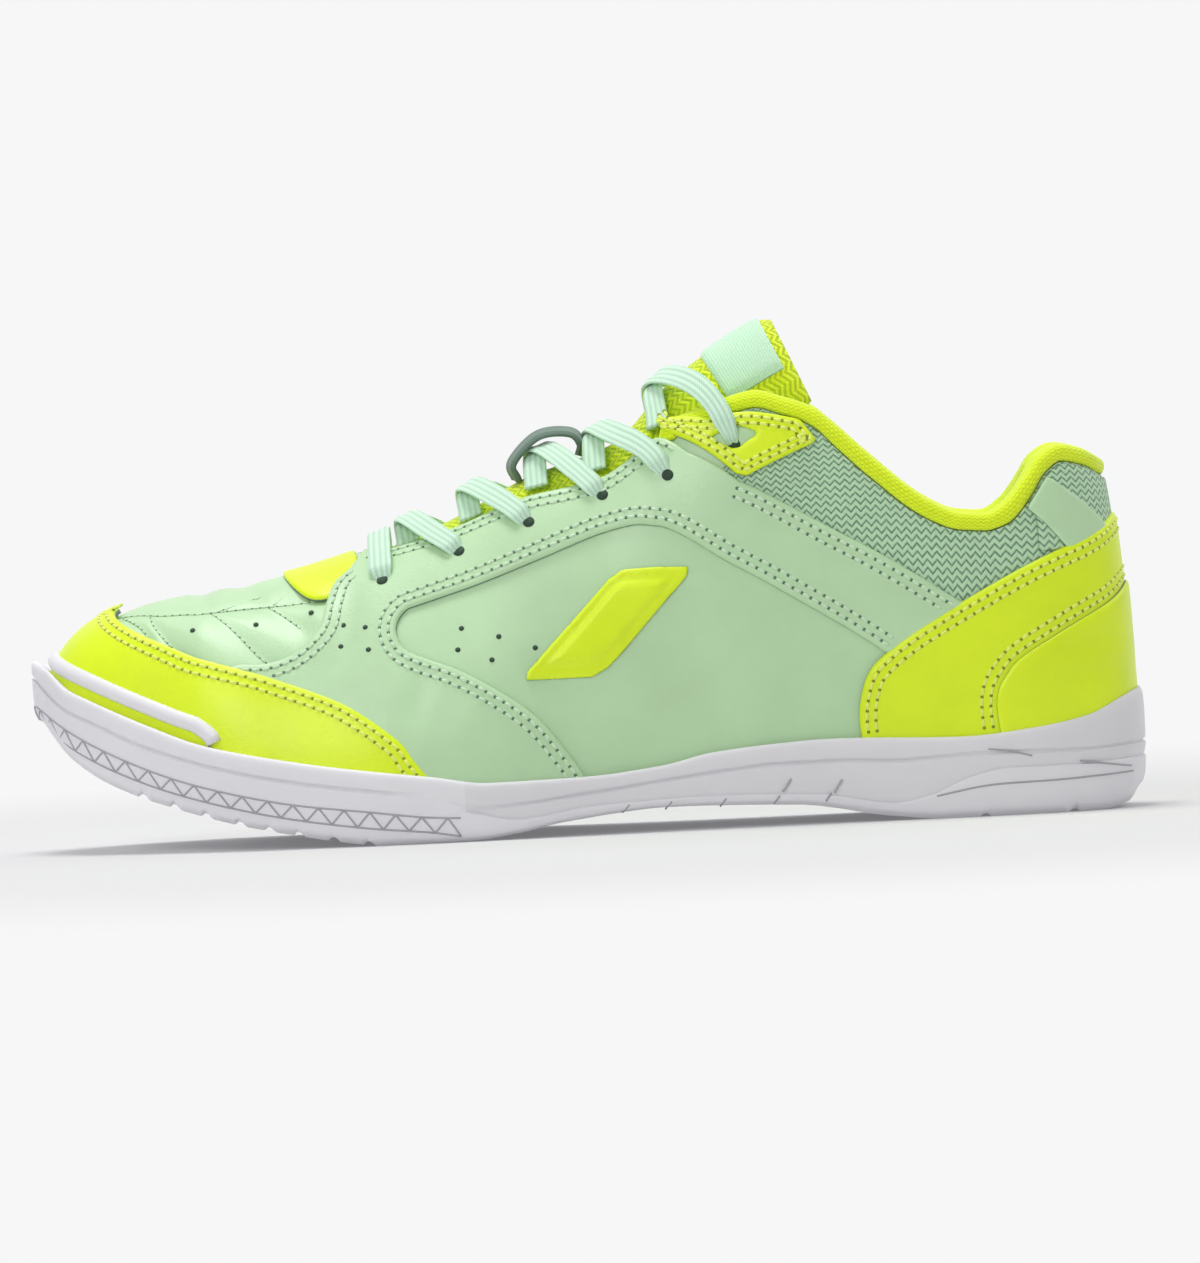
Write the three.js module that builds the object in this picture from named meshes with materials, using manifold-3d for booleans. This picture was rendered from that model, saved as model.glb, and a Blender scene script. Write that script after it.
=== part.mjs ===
// Indoor soccer shoe for the left foot, EU 42. Millimetres, +Z up, toe towards -X and
// the outer (lateral) side towards -Y. The origin is the middle of the footprint on the floor.
import * as THREE from 'three';
import { mergeVertices } from 'three/addons/utils/BufferGeometryUtils.js';
import Module from 'manifold-3d';

const wasm = await Module();
wasm.setup();

// Driving dimensions
const soleLength = 292;
const ballWidth = 104;
const instepHeight = 114;
const soleHeight = 31.5;
const toeHeight = 68;

// Walls, steps and clearances
const fitGap = 0.35;
const seatGap = 0.5;
const upperWall = 2.2;
const overlayWall = 1.2;
const counterWall = 1.0;
const upperInset = 4.4;
const insoleWall = 3.5;
const insoleMargin = 0.6;
const rollDepth = 4.7;
const grooveHalf = 0.9;
const treadDepth = 1.6;
const treadWidth = 2.6;
const bumperWidth = 3.6;
const bumperProud = 2.1;
const bumperRise = 5.2;
const bumperEnd = 0.832;
const laceWidth = 6.4;
const laceThickness = 1.5;
const tongueThickness = 5;
const tongueRoom = 1;
const labelThickness = 0.8;
const keeperWidth = 9;
const keeperThickness = 1.2;
const keeperRise = 11.5;
const keeperBow = 3;
const randFace = 0.05;
const randRound = 1.1;
const cupLip = 0.2;

// Resolution of the curved grids
const stationCount = 26;
const levelCount = 8;
const searchSteps = 120;
const small = 1e-4;

// Colours
const mint = 0xc3e2bd;
const meshMint = 0x9dc8a2;
const neon = 0xdcf50a;
const white = 0xe6e5ea;
const grey = 0xd6d4dc;
const laceMint = 0xc9ead3;
const keeperGreen = 0x8fae9a;

// Plan outline of the sole. along: share of the length from heel to toe.
// half: half width, middle: sideways shift of the centre line, as shares of the ball width.
const planRows = [
  { along: 0, half: 0, middle: 0 },
  { along: 0.02, half: 0.18, middle: 0 },
  { along: 0.05, half: 0.254, middle: 0 },
  { along: 0.1, half: 0.308, middle: 0 },
  { along: 0.2, half: 0.339, middle: -0.003 },
  { along: 0.3, half: 0.334, middle: -0.017 },
  { along: 0.4, half: 0.337, middle: -0.034 },
  { along: 0.5, half: 0.375, middle: -0.038 },
  { along: 0.6, half: 0.442, middle: -0.019 },
  { along: 0.7, half: 0.49, middle: 0.014 },
  { along: 0.8, half: 0.464, middle: 0.036 },
  { along: 0.9, half: 0.352, middle: 0.046 },
  { along: 0.95, half: 0.26, middle: 0.043 },
  { along: 0.98, half: 0.168, middle: 0.04 },
  { along: 1, half: 0, middle: 0.038 },
];

// Heights of the sole's lines, as shares of its height at the heel.
const bottomRows = [
  { along: 0.99, up: 1.09 }, { along: 0.964, up: 0.79 }, { along: 0.924, up: 0.549 },
  { along: 0.86, up: 0.33 }, { along: 0.81, up: 0.2 }, { along: 0.763, up: 0.108 },
  { along: 0.712, up: 0.025 }, { along: 0.69, up: 0 }, { along: 0.615, up: 0 },
  { along: 0.566, up: 0.051 }, { along: 0.526, up: 0.121 }, { along: 0.43, up: 0.2 },
  { along: 0.316, up: 0.168 }, { along: 0.233, up: 0.041 }, { along: 0.185, up: 0 },
  { along: 0.048, up: 0 }, { along: 0.02, up: 0.05 }, { along: 0.008, up: 0.16 },
];
const randRows = [
  { along: 1, up: 1.625 }, { along: 0.984, up: 1.543 }, { along: 0.969, up: 1.394 },
  { along: 0.944, up: 1.273 }, { along: 0.89, up: 1.044 }, { along: 0.846, up: 0.886 },
  { along: 0.782, up: 0.752 }, { along: 0.726, up: 0.66 }, { along: 0.64, up: 0.546 },
  { along: 0.592, up: 0.479 }, { along: 0.507, up: 0.489 }, { along: 0.437, up: 0.549 },
  { along: 0.391, up: 0.638 }, { along: 0.333, up: 0.686 }, { along: 0.285, up: 0.705 },
  { along: 0.164, up: 0.673 }, { along: 0.11, up: 0.711 }, { along: 0.055, up: 0.795 },
  { along: 0.022, up: 0.93 }, { along: 0.006, up: 0.99 }, { along: 0, up: 1 },
];
const footbedRows = [
  { along: 1, up: 1.14 }, { along: 0.96, up: 1.0 }, { along: 0.9, up: 0.72 },
  { along: 0.82, up: 0.47 }, { along: 0.74, up: 0.32 }, { along: 0.66, up: 0.27 },
  { along: 0.58, up: 0.28 }, { along: 0.45, up: 0.38 }, { along: 0.3, up: 0.44 },
  { along: 0.15, up: 0.45 }, { along: 0, up: 0.47 },
];

// Side wall of the sole below the groove: share of its height, and how far it lies inside the plan.
const soleWallRows = [
  { share: 0, inset: 3.2 }, { share: 0.12, inset: 1.3 }, { share: 0.45, inset: 0.4 },
  { share: 1, inset: 0.1 },
];

// The groove under the rand. depth in millimetres.
const grooveRows = [
  { along: 1, up: 1.49, depth: 1 }, { along: 0.97, up: 1.213, depth: 1 },
  { along: 0.945, up: 1.094, depth: 1 }, { along: 0.895, up: 0.874, depth: 1 },
  { along: 0.834, up: 0.691, depth: 1 }, { along: 0.762, up: 0.544, depth: 1 },
  { along: 0.692, up: 0.449, depth: 0.9 }, { along: 0.64, up: 0.38, depth: 0.1 },
  { along: 0.597, up: 0.276, depth: 0.5 }, { along: 0.496, up: 0.36, depth: 0.9 },
  { along: 0.392, up: 0.47, depth: 0.9 }, { along: 0.334, up: 0.517, depth: 0.9 },
  { along: 0.276, up: 0.521, depth: 0.9 }, { along: 0.224, up: 0.5, depth: 0.9 },
  { along: 0.15, up: 0.53, depth: 0.6 }, { along: 0.06, up: 0.52, depth: 0.7 },
  { along: 0, up: 0.55, depth: 0.7 },
];

// Where the outsole ends and the midsole begins, seen from the side.
const partingRows = [
  { along: 0.631, up: 0.62 }, { along: 0.613, up: 0.337 }, { along: 0.591, up: 0.206 },
  { along: 0.566, up: 0.17 }, { along: 0.496, up: 0.25 }, { along: 0.392, up: 0.28 },
  { along: 0.295, up: 0.25 }, { along: 0.228, up: 0.15 }, { along: 0.199, up: 0.2 },
  { along: 0.161, up: 0.34 }, { along: 0.13, up: 0.4 }, { along: 0.06, up: 0.4 },
  { along: 0.03, up: 0.41 }, { along: -0.02, up: 0.44 },
];

// The last: height of the ridge as a share of the instep height, and the fullness of
// each rib: rise is the share that it goes straight up, reach the share that it lies flat.
// toeRise is the toe's height in this table, before the toe height of the driving dimensions.
const ridgeRows = [
  { along: 0.85, up: 0.584, rise: 0.66, reach: 0.6 },
  { along: 0.767, up: 0.617, rise: 0.52, reach: 0.5 },
  { along: 0.719, up: 0.648, rise: 0.48, reach: 0.48 },
  { along: 0.671, up: 0.688, rise: 0.48, reach: 0.48 },
  { along: 0.61, up: 0.752, rise: 0.5, reach: 0.5 },
  { along: 0.548, up: 0.833, rise: 0.54, reach: 0.55 },
  { along: 0.476, up: 0.894, rise: 0.6, reach: 0.62 },
  { along: 0.428, up: 0.985, rise: 0.68, reach: 0.72 },
  { along: 0.339, up: 1.15, rise: 0.78, reach: 0.78 },
  { along: 0.243, up: 1.2, rise: 0.78, reach: 0.76 },
  { along: 0.13, up: 1.16, rise: 0.74, reach: 0.66 },
];
const toeRise = 0.596;
const toePole = 0.85;
const heelPole = 0.13;

// Upper edge of the throat: half width as a share of the ball width.
const throatRows = [
  { along: 0.702, half: 0 }, { along: 0.699, half: 0.035 }, { along: 0.69, half: 0.07 },
  { along: 0.672, half: 0.1 }, { along: 0.61, half: 0.125 }, { along: 0.548, half: 0.14 },
  { along: 0.476, half: 0.155 }, { along: 0.425, half: 0.17 },
];
const throatEnd = 0.425;

// Top line of the collar, as a share of the instep height, with the lining's padding there.
const collarRows = [
  { along: 0.452, up: 0.93, pad: 1.6, skirt: 7 }, { along: 0.421, up: 0.94, pad: 1.8, skirt: 9 },
  { along: 0.368, up: 0.984, pad: 2.2, skirt: 11 }, { along: 0.339, up: 1, pad: 2.6, skirt: 13 },
  { along: 0.314, up: 0.982, pad: 3, skirt: 16 }, { along: 0.287, up: 0.955, pad: 3.6, skirt: 18 },
  { along: 0.271, up: 0.921, pad: 4.4, skirt: 20 }, { along: 0.239, up: 0.843, pad: 6.4, skirt: 23 },
  { along: 0.187, up: 0.732, pad: 8, skirt: 25 }, { along: 0.16, up: 0.7, pad: 8, skirt: 25 },
  { along: 0.138, up: 0.695, pad: 8, skirt: 26 }, { along: 0.12, up: 0.72, pad: 8, skirt: 28 },
  { along: 0.102, up: 0.775, pad: 8, skirt: 30 }, { along: 0.086, up: 0.825, pad: 8, skirt: 32 },
  { along: 0.07, up: 0.845, pad: 8, skirt: 32 }, { along: 0.05, up: 0.834, pad: 8, skirt: 32 },
  { along: 0.029, up: 0.802, pad: 8, skirt: 31 }, { along: 0, up: 0.77, pad: 8, skirt: 30 },
];
const collarStart = 0.445;
const rollStart = 0.452;

// Panel edges seen from the side: share of the length from the heel, share of the instep height.
const toeCapEdge = [
  [0.925, 0.66], [0.925, 0.556], [0.914, 0.519], [0.89, 0.486], [0.853, 0.445],
  [0.786, 0.39], [0.723, 0.329], [0.673, 0.242], [0.657, 0.189], [0.64, 0.14],
];
const vampEdge = [
  [0.785, 0.3], [0.815, 0.36], [0.824, 0.412], [0.785, 0.413], [0.758, 0.443], [0.737, 0.491],
  [0.73, 0.55],
];
const windowEdge = [
  [0.502, 0.1], [0.507, 0.138], [0.518, 0.182], [0.551, 0.285], [0.608, 0.381], [0.655, 0.432],
  [0.668, 0.47], [0.664, 0.515], [0.643, 0.542], [0.545, 0.625], [0.486, 0.681], [0.445, 0.703],
  [0.42, 0.688], [0.376, 0.618], [0.327, 0.543], [0.255, 0.425], [0.225, 0.37],
];
const strapEdge = [[0.15, 0.47], [0.19, 0.539], [0.27, 0.665], [0.315, 0.733], [0.36, 0.797]];
const bandEdge = [
  [0.251, 0.15], [0.258, 0.266], [0.249, 0.339], [0.235, 0.378], [0.203, 0.435],
  [0.125, 0.543], [0.065, 0.611], [0.008, 0.677],
];
const counterEdge = [
  [0.129, 0.15], [0.136, 0.271], [0.127, 0.32], [0.107, 0.368], [0.04, 0.467], [0, 0.518],
];
const patchCorners = [
  [0.427, 0.94], [0.422, 0.907], [0.354, 0.794], [0.285, 0.873], [0.3, 0.965], [0.36, 1.05],
  [0.42, 1.05],
];
const sidePatchCorners = [[0.56, 0.36], [0.47, 0.6], [0.4, 0.6], [0.49, 0.36]];
const tabCorners = [
  [0.1, 0.687], [0.09, 0.655], [0.06, 0.6], [-0.01, 0.6], [-0.01, 0.82], [0.09, 0.82],
];

// Edges near the ridge seen from the side: share of the length, share of the ridge's height there.
const vampTop = [[0.716, 0.923], [0.694, 1.009]];
const throatPieceEdge = [
  [0.702, 0.76], [0.702, 1.37], [0.79, 1.47], [0.775, 1.08], [0.755, 0.963], [0.73, 0.875],
];

// Eyelet row seen from the side, from the toe end. leave is where the lace comes out from
// under the eyestay's edge again.
const eyeletRows = [
  { along: 0.678, up: 0.594, leave: 0.656 }, { along: 0.608, up: 0.654, leave: 0.599 },
  { along: 0.545, up: 0.715, leave: 0.538 }, { along: 0.478, up: 0.77, leave: 0.485 },
  { along: 0.419, up: 0.812, leave: 0.428 }, { along: 0.359, up: 0.877, leave: 0.359 },
];

// Where the lace keeper's two feet stand on the tongue, from the toe end.
const keeperFeet = [0.557, 0.499];

// Tongue sections: centre of the outer face, the lean of its axis in degrees, half width as a
// share of the ball width and the fall of its sides as a share of the instep height.
const tongueRows = [
  { along: 0.735, up: 0.6, lean: 12, half: 0.15, fall: 0.05 },
  { along: 0.69, up: 0.635, lean: 15, half: 0.18, fall: 0.06 },
  { along: 0.61, up: 0.7, lean: 23, half: 0.195, fall: 0.08 },
  { along: 0.548, up: 0.79, lean: 26, half: 0.19, fall: 0.1 },
  { along: 0.476, up: 0.895, lean: 34, half: 0.18, fall: 0.14 },
  { along: 0.43, up: 0.995, lean: 38, half: 0.16, fall: 0.18 },
  { along: 0.395, up: 1.06, lean: 31, half: 0.15, fall: 0.21 },
  { along: 0.358, up: 1.12, lean: 29, half: 0.15, fall: 0.22 },
  { along: 0.323, up: 1.168, lean: 24, half: 0.15, fall: 0.22 },
];
const tongueFreeFrom = 0.47;
const tongueFreeTo = 0.4;
const tongueSweep = 1.35;

// Small helpers
const clamp = (value, low, high) => Math.min(high, Math.max(low, value));
const mix = (a, b, share) => a + (b - a) * share;
const ease = (low, high, value) => {
  const share = clamp((value - low) / (high - low), 0, 1);
  return share * share * (3 - 2 * share);
};
const steps = (count) => Array.from({ length: count + 1 }, (_, index) => index / count);

// Smooth curve through the rows of a table, without overshoot.
function follow(rows, column, key = (row) => row.along) {
  const sorted = [...rows].sort((a, b) => key(a) - key(b));
  const at = sorted.map(key);
  const value = sorted.map((row) => row[column]);
  const slope = at.slice(1).map((end, i) => (value[i + 1] - value[i]) / (end - at[i]));
  const tangent = at.map((_, i) => {
    if (i === 0) return slope[0];
    if (i === slope.length) return slope[i - 1];
    const product = slope[i - 1] * slope[i];
    return product <= 0 ? 0 : 2 * product / (slope[i - 1] + slope[i]);
  });
  return (where) => {
    const place = clamp(where, at[0], at[at.length - 1]);
    let i = 0;
    while (i < slope.length - 1 && place > at[i + 1]) i += 1;
    const span = at[i + 1] - at[i];
    const t = (place - at[i]) / span;
    const [t2, t3] = [t * t, t * t * t];
    return (2 * t3 - 3 * t2 + 1) * value[i] + (t3 - 2 * t2 + t) * span * tangent[i]
      + (3 * t2 - 2 * t3) * value[i + 1] + (t3 - t2) * span * tangent[i + 1];
  };
}

// Places along the shoe
const xOf = (along) => (0.5 - along) * soleLength;
const alongOf = (x) => 0.5 - x / soleLength;
const turnOf = (along) => Math.acos(1 - 2 * along) / Math.PI;
const alongTurn = (turn) => (1 - Math.cos(Math.PI * turn)) / 2;

// Named curves made from the tables
const halfShare = follow(planRows, 'half', (row) => turnOf(row.along));
const middleShare = follow(planRows, 'middle', (row) => turnOf(row.along));
const bottomShare = follow(bottomRows, 'up');
const randShare = follow(randRows, 'up');
const footbedShare = follow(footbedRows, 'up');
const grooveShare = follow(grooveRows, 'up');
const grooveDepth = follow(grooveRows, 'depth');
const partingShare = follow(partingRows, 'up');
const ridgeShare = follow(ridgeRows, 'up');
const riseShare = follow(ridgeRows, 'rise');
const reachShare = follow(ridgeRows, 'reach');
const throatShare = follow(throatRows, 'half');
const collarShare = follow(collarRows, 'up');
const padDepth = follow(collarRows, 'pad');
const skirtDepth = follow(collarRows, 'skirt');

const bottomZ = (x) => Math.max(0, bottomShare(alongOf(x)) * soleHeight);
const randZ = (x) => randShare(alongOf(x)) * soleHeight;
const footbedZ = (x) => footbedShare(alongOf(x)) * soleHeight;
const grooveZ = (x) => grooveShare(alongOf(x)) * soleHeight;
const toeLift = toeHeight / (toeRise * instepHeight);
const ridgeZ = (x) => {
  const along = alongOf(x);
  return ridgeShare(along) * instepHeight * mix(1, toeLift, ease(0.6, 0.8, along));
};
const throatHalf = (x) => {
  const along = alongOf(x);
  const open = along < throatRows[0].along && along > throatEnd;
  return open ? throatShare(along) * ballWidth : -1;
};
const collarZ = (x) => (alongOf(x) < collarStart ? collarShare(alongOf(x)) * instepHeight : Infinity);

// Plan outline. around goes from the heel (0) along the outer side to the toe (1) and back (2).
const widest = steps(200).map((turn) => [
  (middleShare(turn) - halfShare(turn)) * ballWidth, (middleShare(turn) + halfShare(turn)) * ballWidth,
]);
const sideShift = -(Math.min(...widest.map((pair) => pair[0]))
  + Math.max(...widest.map((pair) => pair[1]))) / 2;
const wrap = (around) => ((around % 2) + 2) % 2;
const sideOf = (around) => (wrap(around) <= 1 ? -1 : 1);
const turnAt = (around) => (wrap(around) <= 1 ? wrap(around) : 2 - wrap(around));

function plan(around) {
  const turn = turnAt(around);
  const y = sideShift + (middleShare(turn) + sideOf(around) * halfShare(turn)) * ballWidth;
  return new THREE.Vector2(xOf(alongTurn(turn)), y);
}

function outward(around) {
  const nudge = 0.004;
  const tangent = plan(around + nudge).sub(plan(around - nudge)).normalize();
  return new THREE.Vector2(-tangent.y, tangent.x);
}

const inset = (around, depth) => plan(around).addScaledVector(outward(around), -depth);

// The last's surface: ribs from the feather edge to the ridge. girth goes from 0 to 1.
function ribAt(around) {
  const start = inset(around, upperInset);
  const along = alongTurn(turnAt(around));
  const ridgeX = clamp(xOf(along), xOf(toePole), xOf(heelPole));
  const ridgeY = sideShift + middleShare(turnOf(alongOf(ridgeX))) * ballWidth;
  const foot = new THREE.Vector3(start.x, start.y, footbedZ(start.x) + fitGap);
  const ridge = new THREE.Vector3(ridgeX, ridgeY, ridgeZ(ridgeX));
  const slope = (ridgeZ(ridgeX + 1) - ridgeZ(ridgeX - 1)) / 2;
  const away = new THREE.Vector2(foot.x - ridgeX, foot.y - ridgeY);
  const width = away.length();
  away.normalize();
  const rise = riseShare(alongOf(ridgeX)) * (ridge.z - foot.z);
  const reach = reachShare(alongOf(ridgeX)) * width;
  const lower = foot.clone().add(new THREE.Vector3(0, 0, rise));
  const upper = ridge.clone().add(
    new THREE.Vector3(away.x, away.y, slope * away.x).multiplyScalar(reach),
  );
  return { curve: new THREE.CubicBezierCurve3(foot, lower, upper, ridge), slope };
}

const ribStore = new Map();
function rib(around) {
  const key = wrap(around).toFixed(7);
  if (!ribStore.has(key)) ribStore.set(key, ribAt(around));
  return ribStore.get(key);
}

function last(around, girth, out = 0) {
  const { curve, slope } = rib(around);
  const point = curve.getPoint(girth);
  if (out === 0) return point;
  if (girth > 0.995) {
    return point.addScaledVector(new THREE.Vector3(-slope, 0, 1).normalize(), out);
  }
  const nudge = 0.003;
  const up = curve.getPoint(Math.min(1, girth + nudge)).sub(curve.getPoint(Math.max(0, girth - nudge)));
  const ahead = rib(around + nudge).curve.getPoint(girth).sub(rib(around - nudge).curve.getPoint(girth));
  return point.addScaledVector(up.cross(ahead).normalize(), out);
}

// Girth at which a rib first passes a test, found by steps and then by halving.
function girthWhere(around, passed) {
  let high = steps(searchSteps).find((girth) => passed(last(around, girth)));
  if (high === undefined) return 1;
  let low = Math.max(0, high - 1 / searchSteps);
  for (let round = 0; round < 18; round += 1) {
    const middle = (low + high) / 2;
    if (passed(last(around, middle))) high = middle;
    else low = middle;
  }
  return high;
}

const ridgeY = (x) => sideShift + middleShare(turnOf(clamp(alongOf(x), 0, 1))) * ballWidth;
const inThroat = (point) => Math.abs(point.y - ridgeY(point.x)) < throatHalf(point.x);
const aboveCollar = (point) => point.z > collarZ(point.x);
const topGirth = (around) => girthWhere(around, (point) => inThroat(point) || aboveCollar(point));

// Stations from heel to toe, shared by both sides, closer at the ends and at the throat's front.
const throatFront = turnOf(throatRows[0].along);
const extraAlongs = [throatRows[0].along, throatRows[1].along, throatRows[2].along, 0.476, 0.44];
const extraStations = extraAlongs.map(turnOf);
const stations = [...steps(stationCount), ...extraStations]
  .sort((a, b) => a - b)
  .filter((turn, i, all) => {
    if (extraStations.includes(turn)) return all.indexOf(turn) === i;
    return extraStations.every((extra) => Math.abs(extra - turn) > 0.011);
  });
const aroundList = [...stations, ...stations.slice(1, -1).reverse().map((turn) => 2 - turn)];
const isClosed = (around) => turnAt(around) >= throatFront - small;

// The wall's own edge: below the roll along the collar.
function wallEdgeAt(around) {
  if (isClosed(around)) return 1;
  const top = topGirth(around);
  const point = last(around, top);
  const band = rollDepth + fitGap;
  if (alongOf(point.x) > rollStart) return top;
  const nudge = 0.01;
  const before = last(around - nudge, topGirth(around - nudge));
  const after = last(around + nudge, topGirth(around + nudge));
  const run = Math.hypot(after.x - before.x, after.y - before.y);
  const drop = band * clamp(Math.hypot(1, (after.z - before.z) / run), 1, 1.6);
  const fade = ease(rollStart, rollStart - 0.02, alongOf(point.x));
  return girthWhere(around, (place) => place.z > point.z - drop * fade || inThroat(place));
}
const wallEdge = new Map(aroundList.map((around) => [around, wallEdgeAt(around)]));

// Collects triangles and turns them into a closed geometry.
class Skin {
  constructor() {
    this.points = [];
  }

  triangle(a, b, c) {
    const same = (p, q) => p.distanceTo(q) < small;
    if (same(a, b) || same(b, c) || same(c, a)) return;
    [a, b, c].forEach((point) => this.points.push(point.x, point.y, point.z));
  }

  quad(a, b, c, d) {
    this.triangle(a, b, c);
    this.triangle(a, c, d);
  }

  // Grid of rows; around the loop when closed is true.
  grid(rows, closed, flip = false) {
    const count = closed ? rows.length : rows.length - 1;
    for (let i = 0; i < count; i += 1) {
      const [here, next] = [rows[i], rows[(i + 1) % rows.length]];
      for (let j = 0; j < here.length - 1; j += 1) {
        if (flip) this.quad(here[j], next[j], next[j + 1], here[j + 1]);
        else this.quad(here[j], here[j + 1], next[j + 1], next[j]);
      }
    }
  }

  // Flat fan that closes a loop of points.
  cap(loop, flip = false) {
    const centre = loop.reduce((sum, point) => sum.add(point), new THREE.Vector3());
    centre.divideScalar(loop.length);
    loop.forEach((point, i) => {
      const next = loop[(i + 1) % loop.length];
      if (flip) this.triangle(centre, next, point);
      else this.triangle(centre, point, next);
    });
  }

  geometry() {
    const raw = new THREE.BufferGeometry();
    raw.setAttribute('position', new THREE.Float32BufferAttribute(this.points, 3));
    return mergeVertices(raw, small);
  }
}

function solid(geometry) {
  const bare = geometry.clone();
  bare.deleteAttribute('normal');
  bare.deleteAttribute('uv');
  const merged = mergeVertices(bare, small);
  return new wasm.Manifold(new wasm.Mesh({
    numProp: 3,
    vertProperties: new Float32Array(merged.attributes.position.array),
    triVerts: new Uint32Array(merged.index.array),
  }));
}

function geometryOf(body) {
  const mesh = body.getMesh();
  const geometry = new THREE.BufferGeometry();
  geometry.setAttribute('position', new THREE.Float32BufferAttribute(mesh.vertProperties, 3));
  geometry.setIndex(Array.from(mesh.triVerts));
  return geometry;
}

// Strip across the shoe between the two sides' points at the same stations.
function across(skin, ring, flip) {
  const side = ring.slice(0, stations.length);
  const other = [ring[0], ...ring.slice(stations.length).reverse(), ring[stations.length - 1]];
  for (let i = 0; i < stations.length - 1; i += 1) {
    if (flip) skin.quad(side[i], other[i], other[i + 1], side[i + 1]);
    else skin.quad(side[i], side[i + 1], other[i + 1], other[i]);
  }
}

// A wall on the last between two offsets, open underneath, at the collar and at the throat.
function wallSkin(inner, outer) {
  const skin = new Skin();
  const ribs = (out) => aroundList.map((around) => steps(levelCount)
    .map((level) => last(around, level * wallEdge.get(around), out)));
  const [outside, inside] = [ribs(outer), ribs(inner)];
  skin.grid(outside, true);
  skin.grid(inside, true, true);
  aroundList.forEach((around, i) => {
    const j = (i + 1) % aroundList.length;
    skin.quad(outside[i][0], outside[j][0], inside[j][0], inside[i][0]);
    if (isClosed(around) && isClosed(aroundList[j])) return;
    const top = levelCount;
    skin.quad(outside[i][top], inside[i][top], inside[j][top], outside[j][top]);
  });
  return skin.geometry();
}

// Side-view outlines
const side = ([along, up]) => new THREE.Vector2(xOf(along), up * instepHeight);
const nearRidge = ([along, up]) => new THREE.Vector2(xOf(along), up * ridgeZ(xOf(along)));
const smooth = (rows, count) => new THREE.SplineCurve(rows.map(side)).getPoints(count);
const randLine = (from, to, count) => steps(count).map((share) => {
  const x = xOf(mix(from, to, share));
  return new THREE.Vector2(x, randZ(x) + seatGap);
});

const aboveRand = (points) => points.filter((point) => point.y > randZ(point.x) + seatGap * 2);

// Solid of a side-view outline, right across the shoe.
function prism(points) {
  const shape = new THREE.Shape(points);
  const geometry = new THREE.ExtrudeGeometry(shape, { depth: 2 * ballWidth, bevelEnabled: false });
  geometry.rotateX(Math.PI / 2);
  geometry.translate(0, ballWidth, 0);
  return solid(geometry);
}

// The same outline, a clearance larger all round.
function grown(points, room) {
  const ccw = THREE.ShapeUtils.isClockWise(points) ? -1 : 1;
  return points.map((point, i) => {
    const before = points[(i + points.length - 1) % points.length];
    const after = points[(i + 1) % points.length];
    const one = point.clone().sub(before).normalize();
    const two = after.clone().sub(point).normalize();
    const normal = new THREE.Vector2(one.y + two.y, -one.x - two.x).normalize();
    const lean = Math.max(0.5, normal.dot(new THREE.Vector2(one.y, -one.x)));
    return point.clone().addScaledVector(normal, ccw * room / lean);
  });
}

// Sole: rings from the tread edge up the side wall, over the rand and down into the cup.
const cupGirth = (around, height) => girthWhere(around, (point) => point.z > height(point.x));
const ringAt = (depth, height) => aroundList.map((around) => {
  const cut = typeof depth === 'function' ? depth(plan(around).x) : depth;
  const place = inset(around, cut);
  return new THREE.Vector3(place.x, place.y, height(place.x));
});
const cupRing = (share) => aroundList.map((around) => {
  const height = (x) => mix(footbedZ(x), randZ(x) - cupLip, share);
  const point = last(around, share === 0 ? 0 : cupGirth(around, height), seatGap);
  return new THREE.Vector3(point.x, point.y, height(point.x));
});
const wallLift = (share) => (x) => mix(bottomZ(x), grooveZ(x) - grooveHalf, share);
const soleRings = [
  ...soleWallRows.map((row) => ringAt(row.inset, wallLift(row.share))),
  ringAt((x) => grooveDepth(alongOf(x)), grooveZ),
  ringAt(randFace, (x) => grooveZ(x) + grooveHalf),
  ringAt(randFace * 4, (x) => randZ(x) - randRound),
  ringAt(randRound, randZ),
  cupRing(1),
  cupRing(0.5),
  cupRing(0),
];
const soleSkin = new Skin();
for (let i = 0; i < soleRings.length - 1; i += 1) {
  const [low, high] = [soleRings[i], soleRings[i + 1]];
  low.forEach((point, j) => {
    const k = (j + 1) % low.length;
    soleSkin.quad(point, high[j], high[k], low[k]);
  });
}
across(soleSkin, soleRings[0], false);
across(soleSkin, soleRings[soleRings.length - 1], true);
const wholeSole = solid(soleSkin.geometry());

// Parting between outsole and midsole, an outline closed far outside the sole.
const partingLine = partingRows.map((row) => new THREE.Vector2(xOf(row.along), row.up * soleHeight));
const partingSteps = 38;
const steepSteps = 7;
const partingCurve = steps(partingSteps).map((share) => {
  const along = mix(partingRows[0].along, partingRows[partingRows.length - 1].along, share);
  return new THREE.Vector2(xOf(along), partingShare(along) * soleHeight);
});
const farTop = soleHeight * 2;
const heelEnd = partingLine[partingLine.length - 1].x;
const rearRegion = (gap) => [
  new THREE.Vector2(partingLine[0].x - gap, farTop),
  ...partingCurve.map((point, i) => {
    const shift = i < steepSteps ? -gap : 0;
    return new THREE.Vector2(point.x + shift, point.y - gap);
  }),
  new THREE.Vector2(heelEnd, farTop),
];

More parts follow.
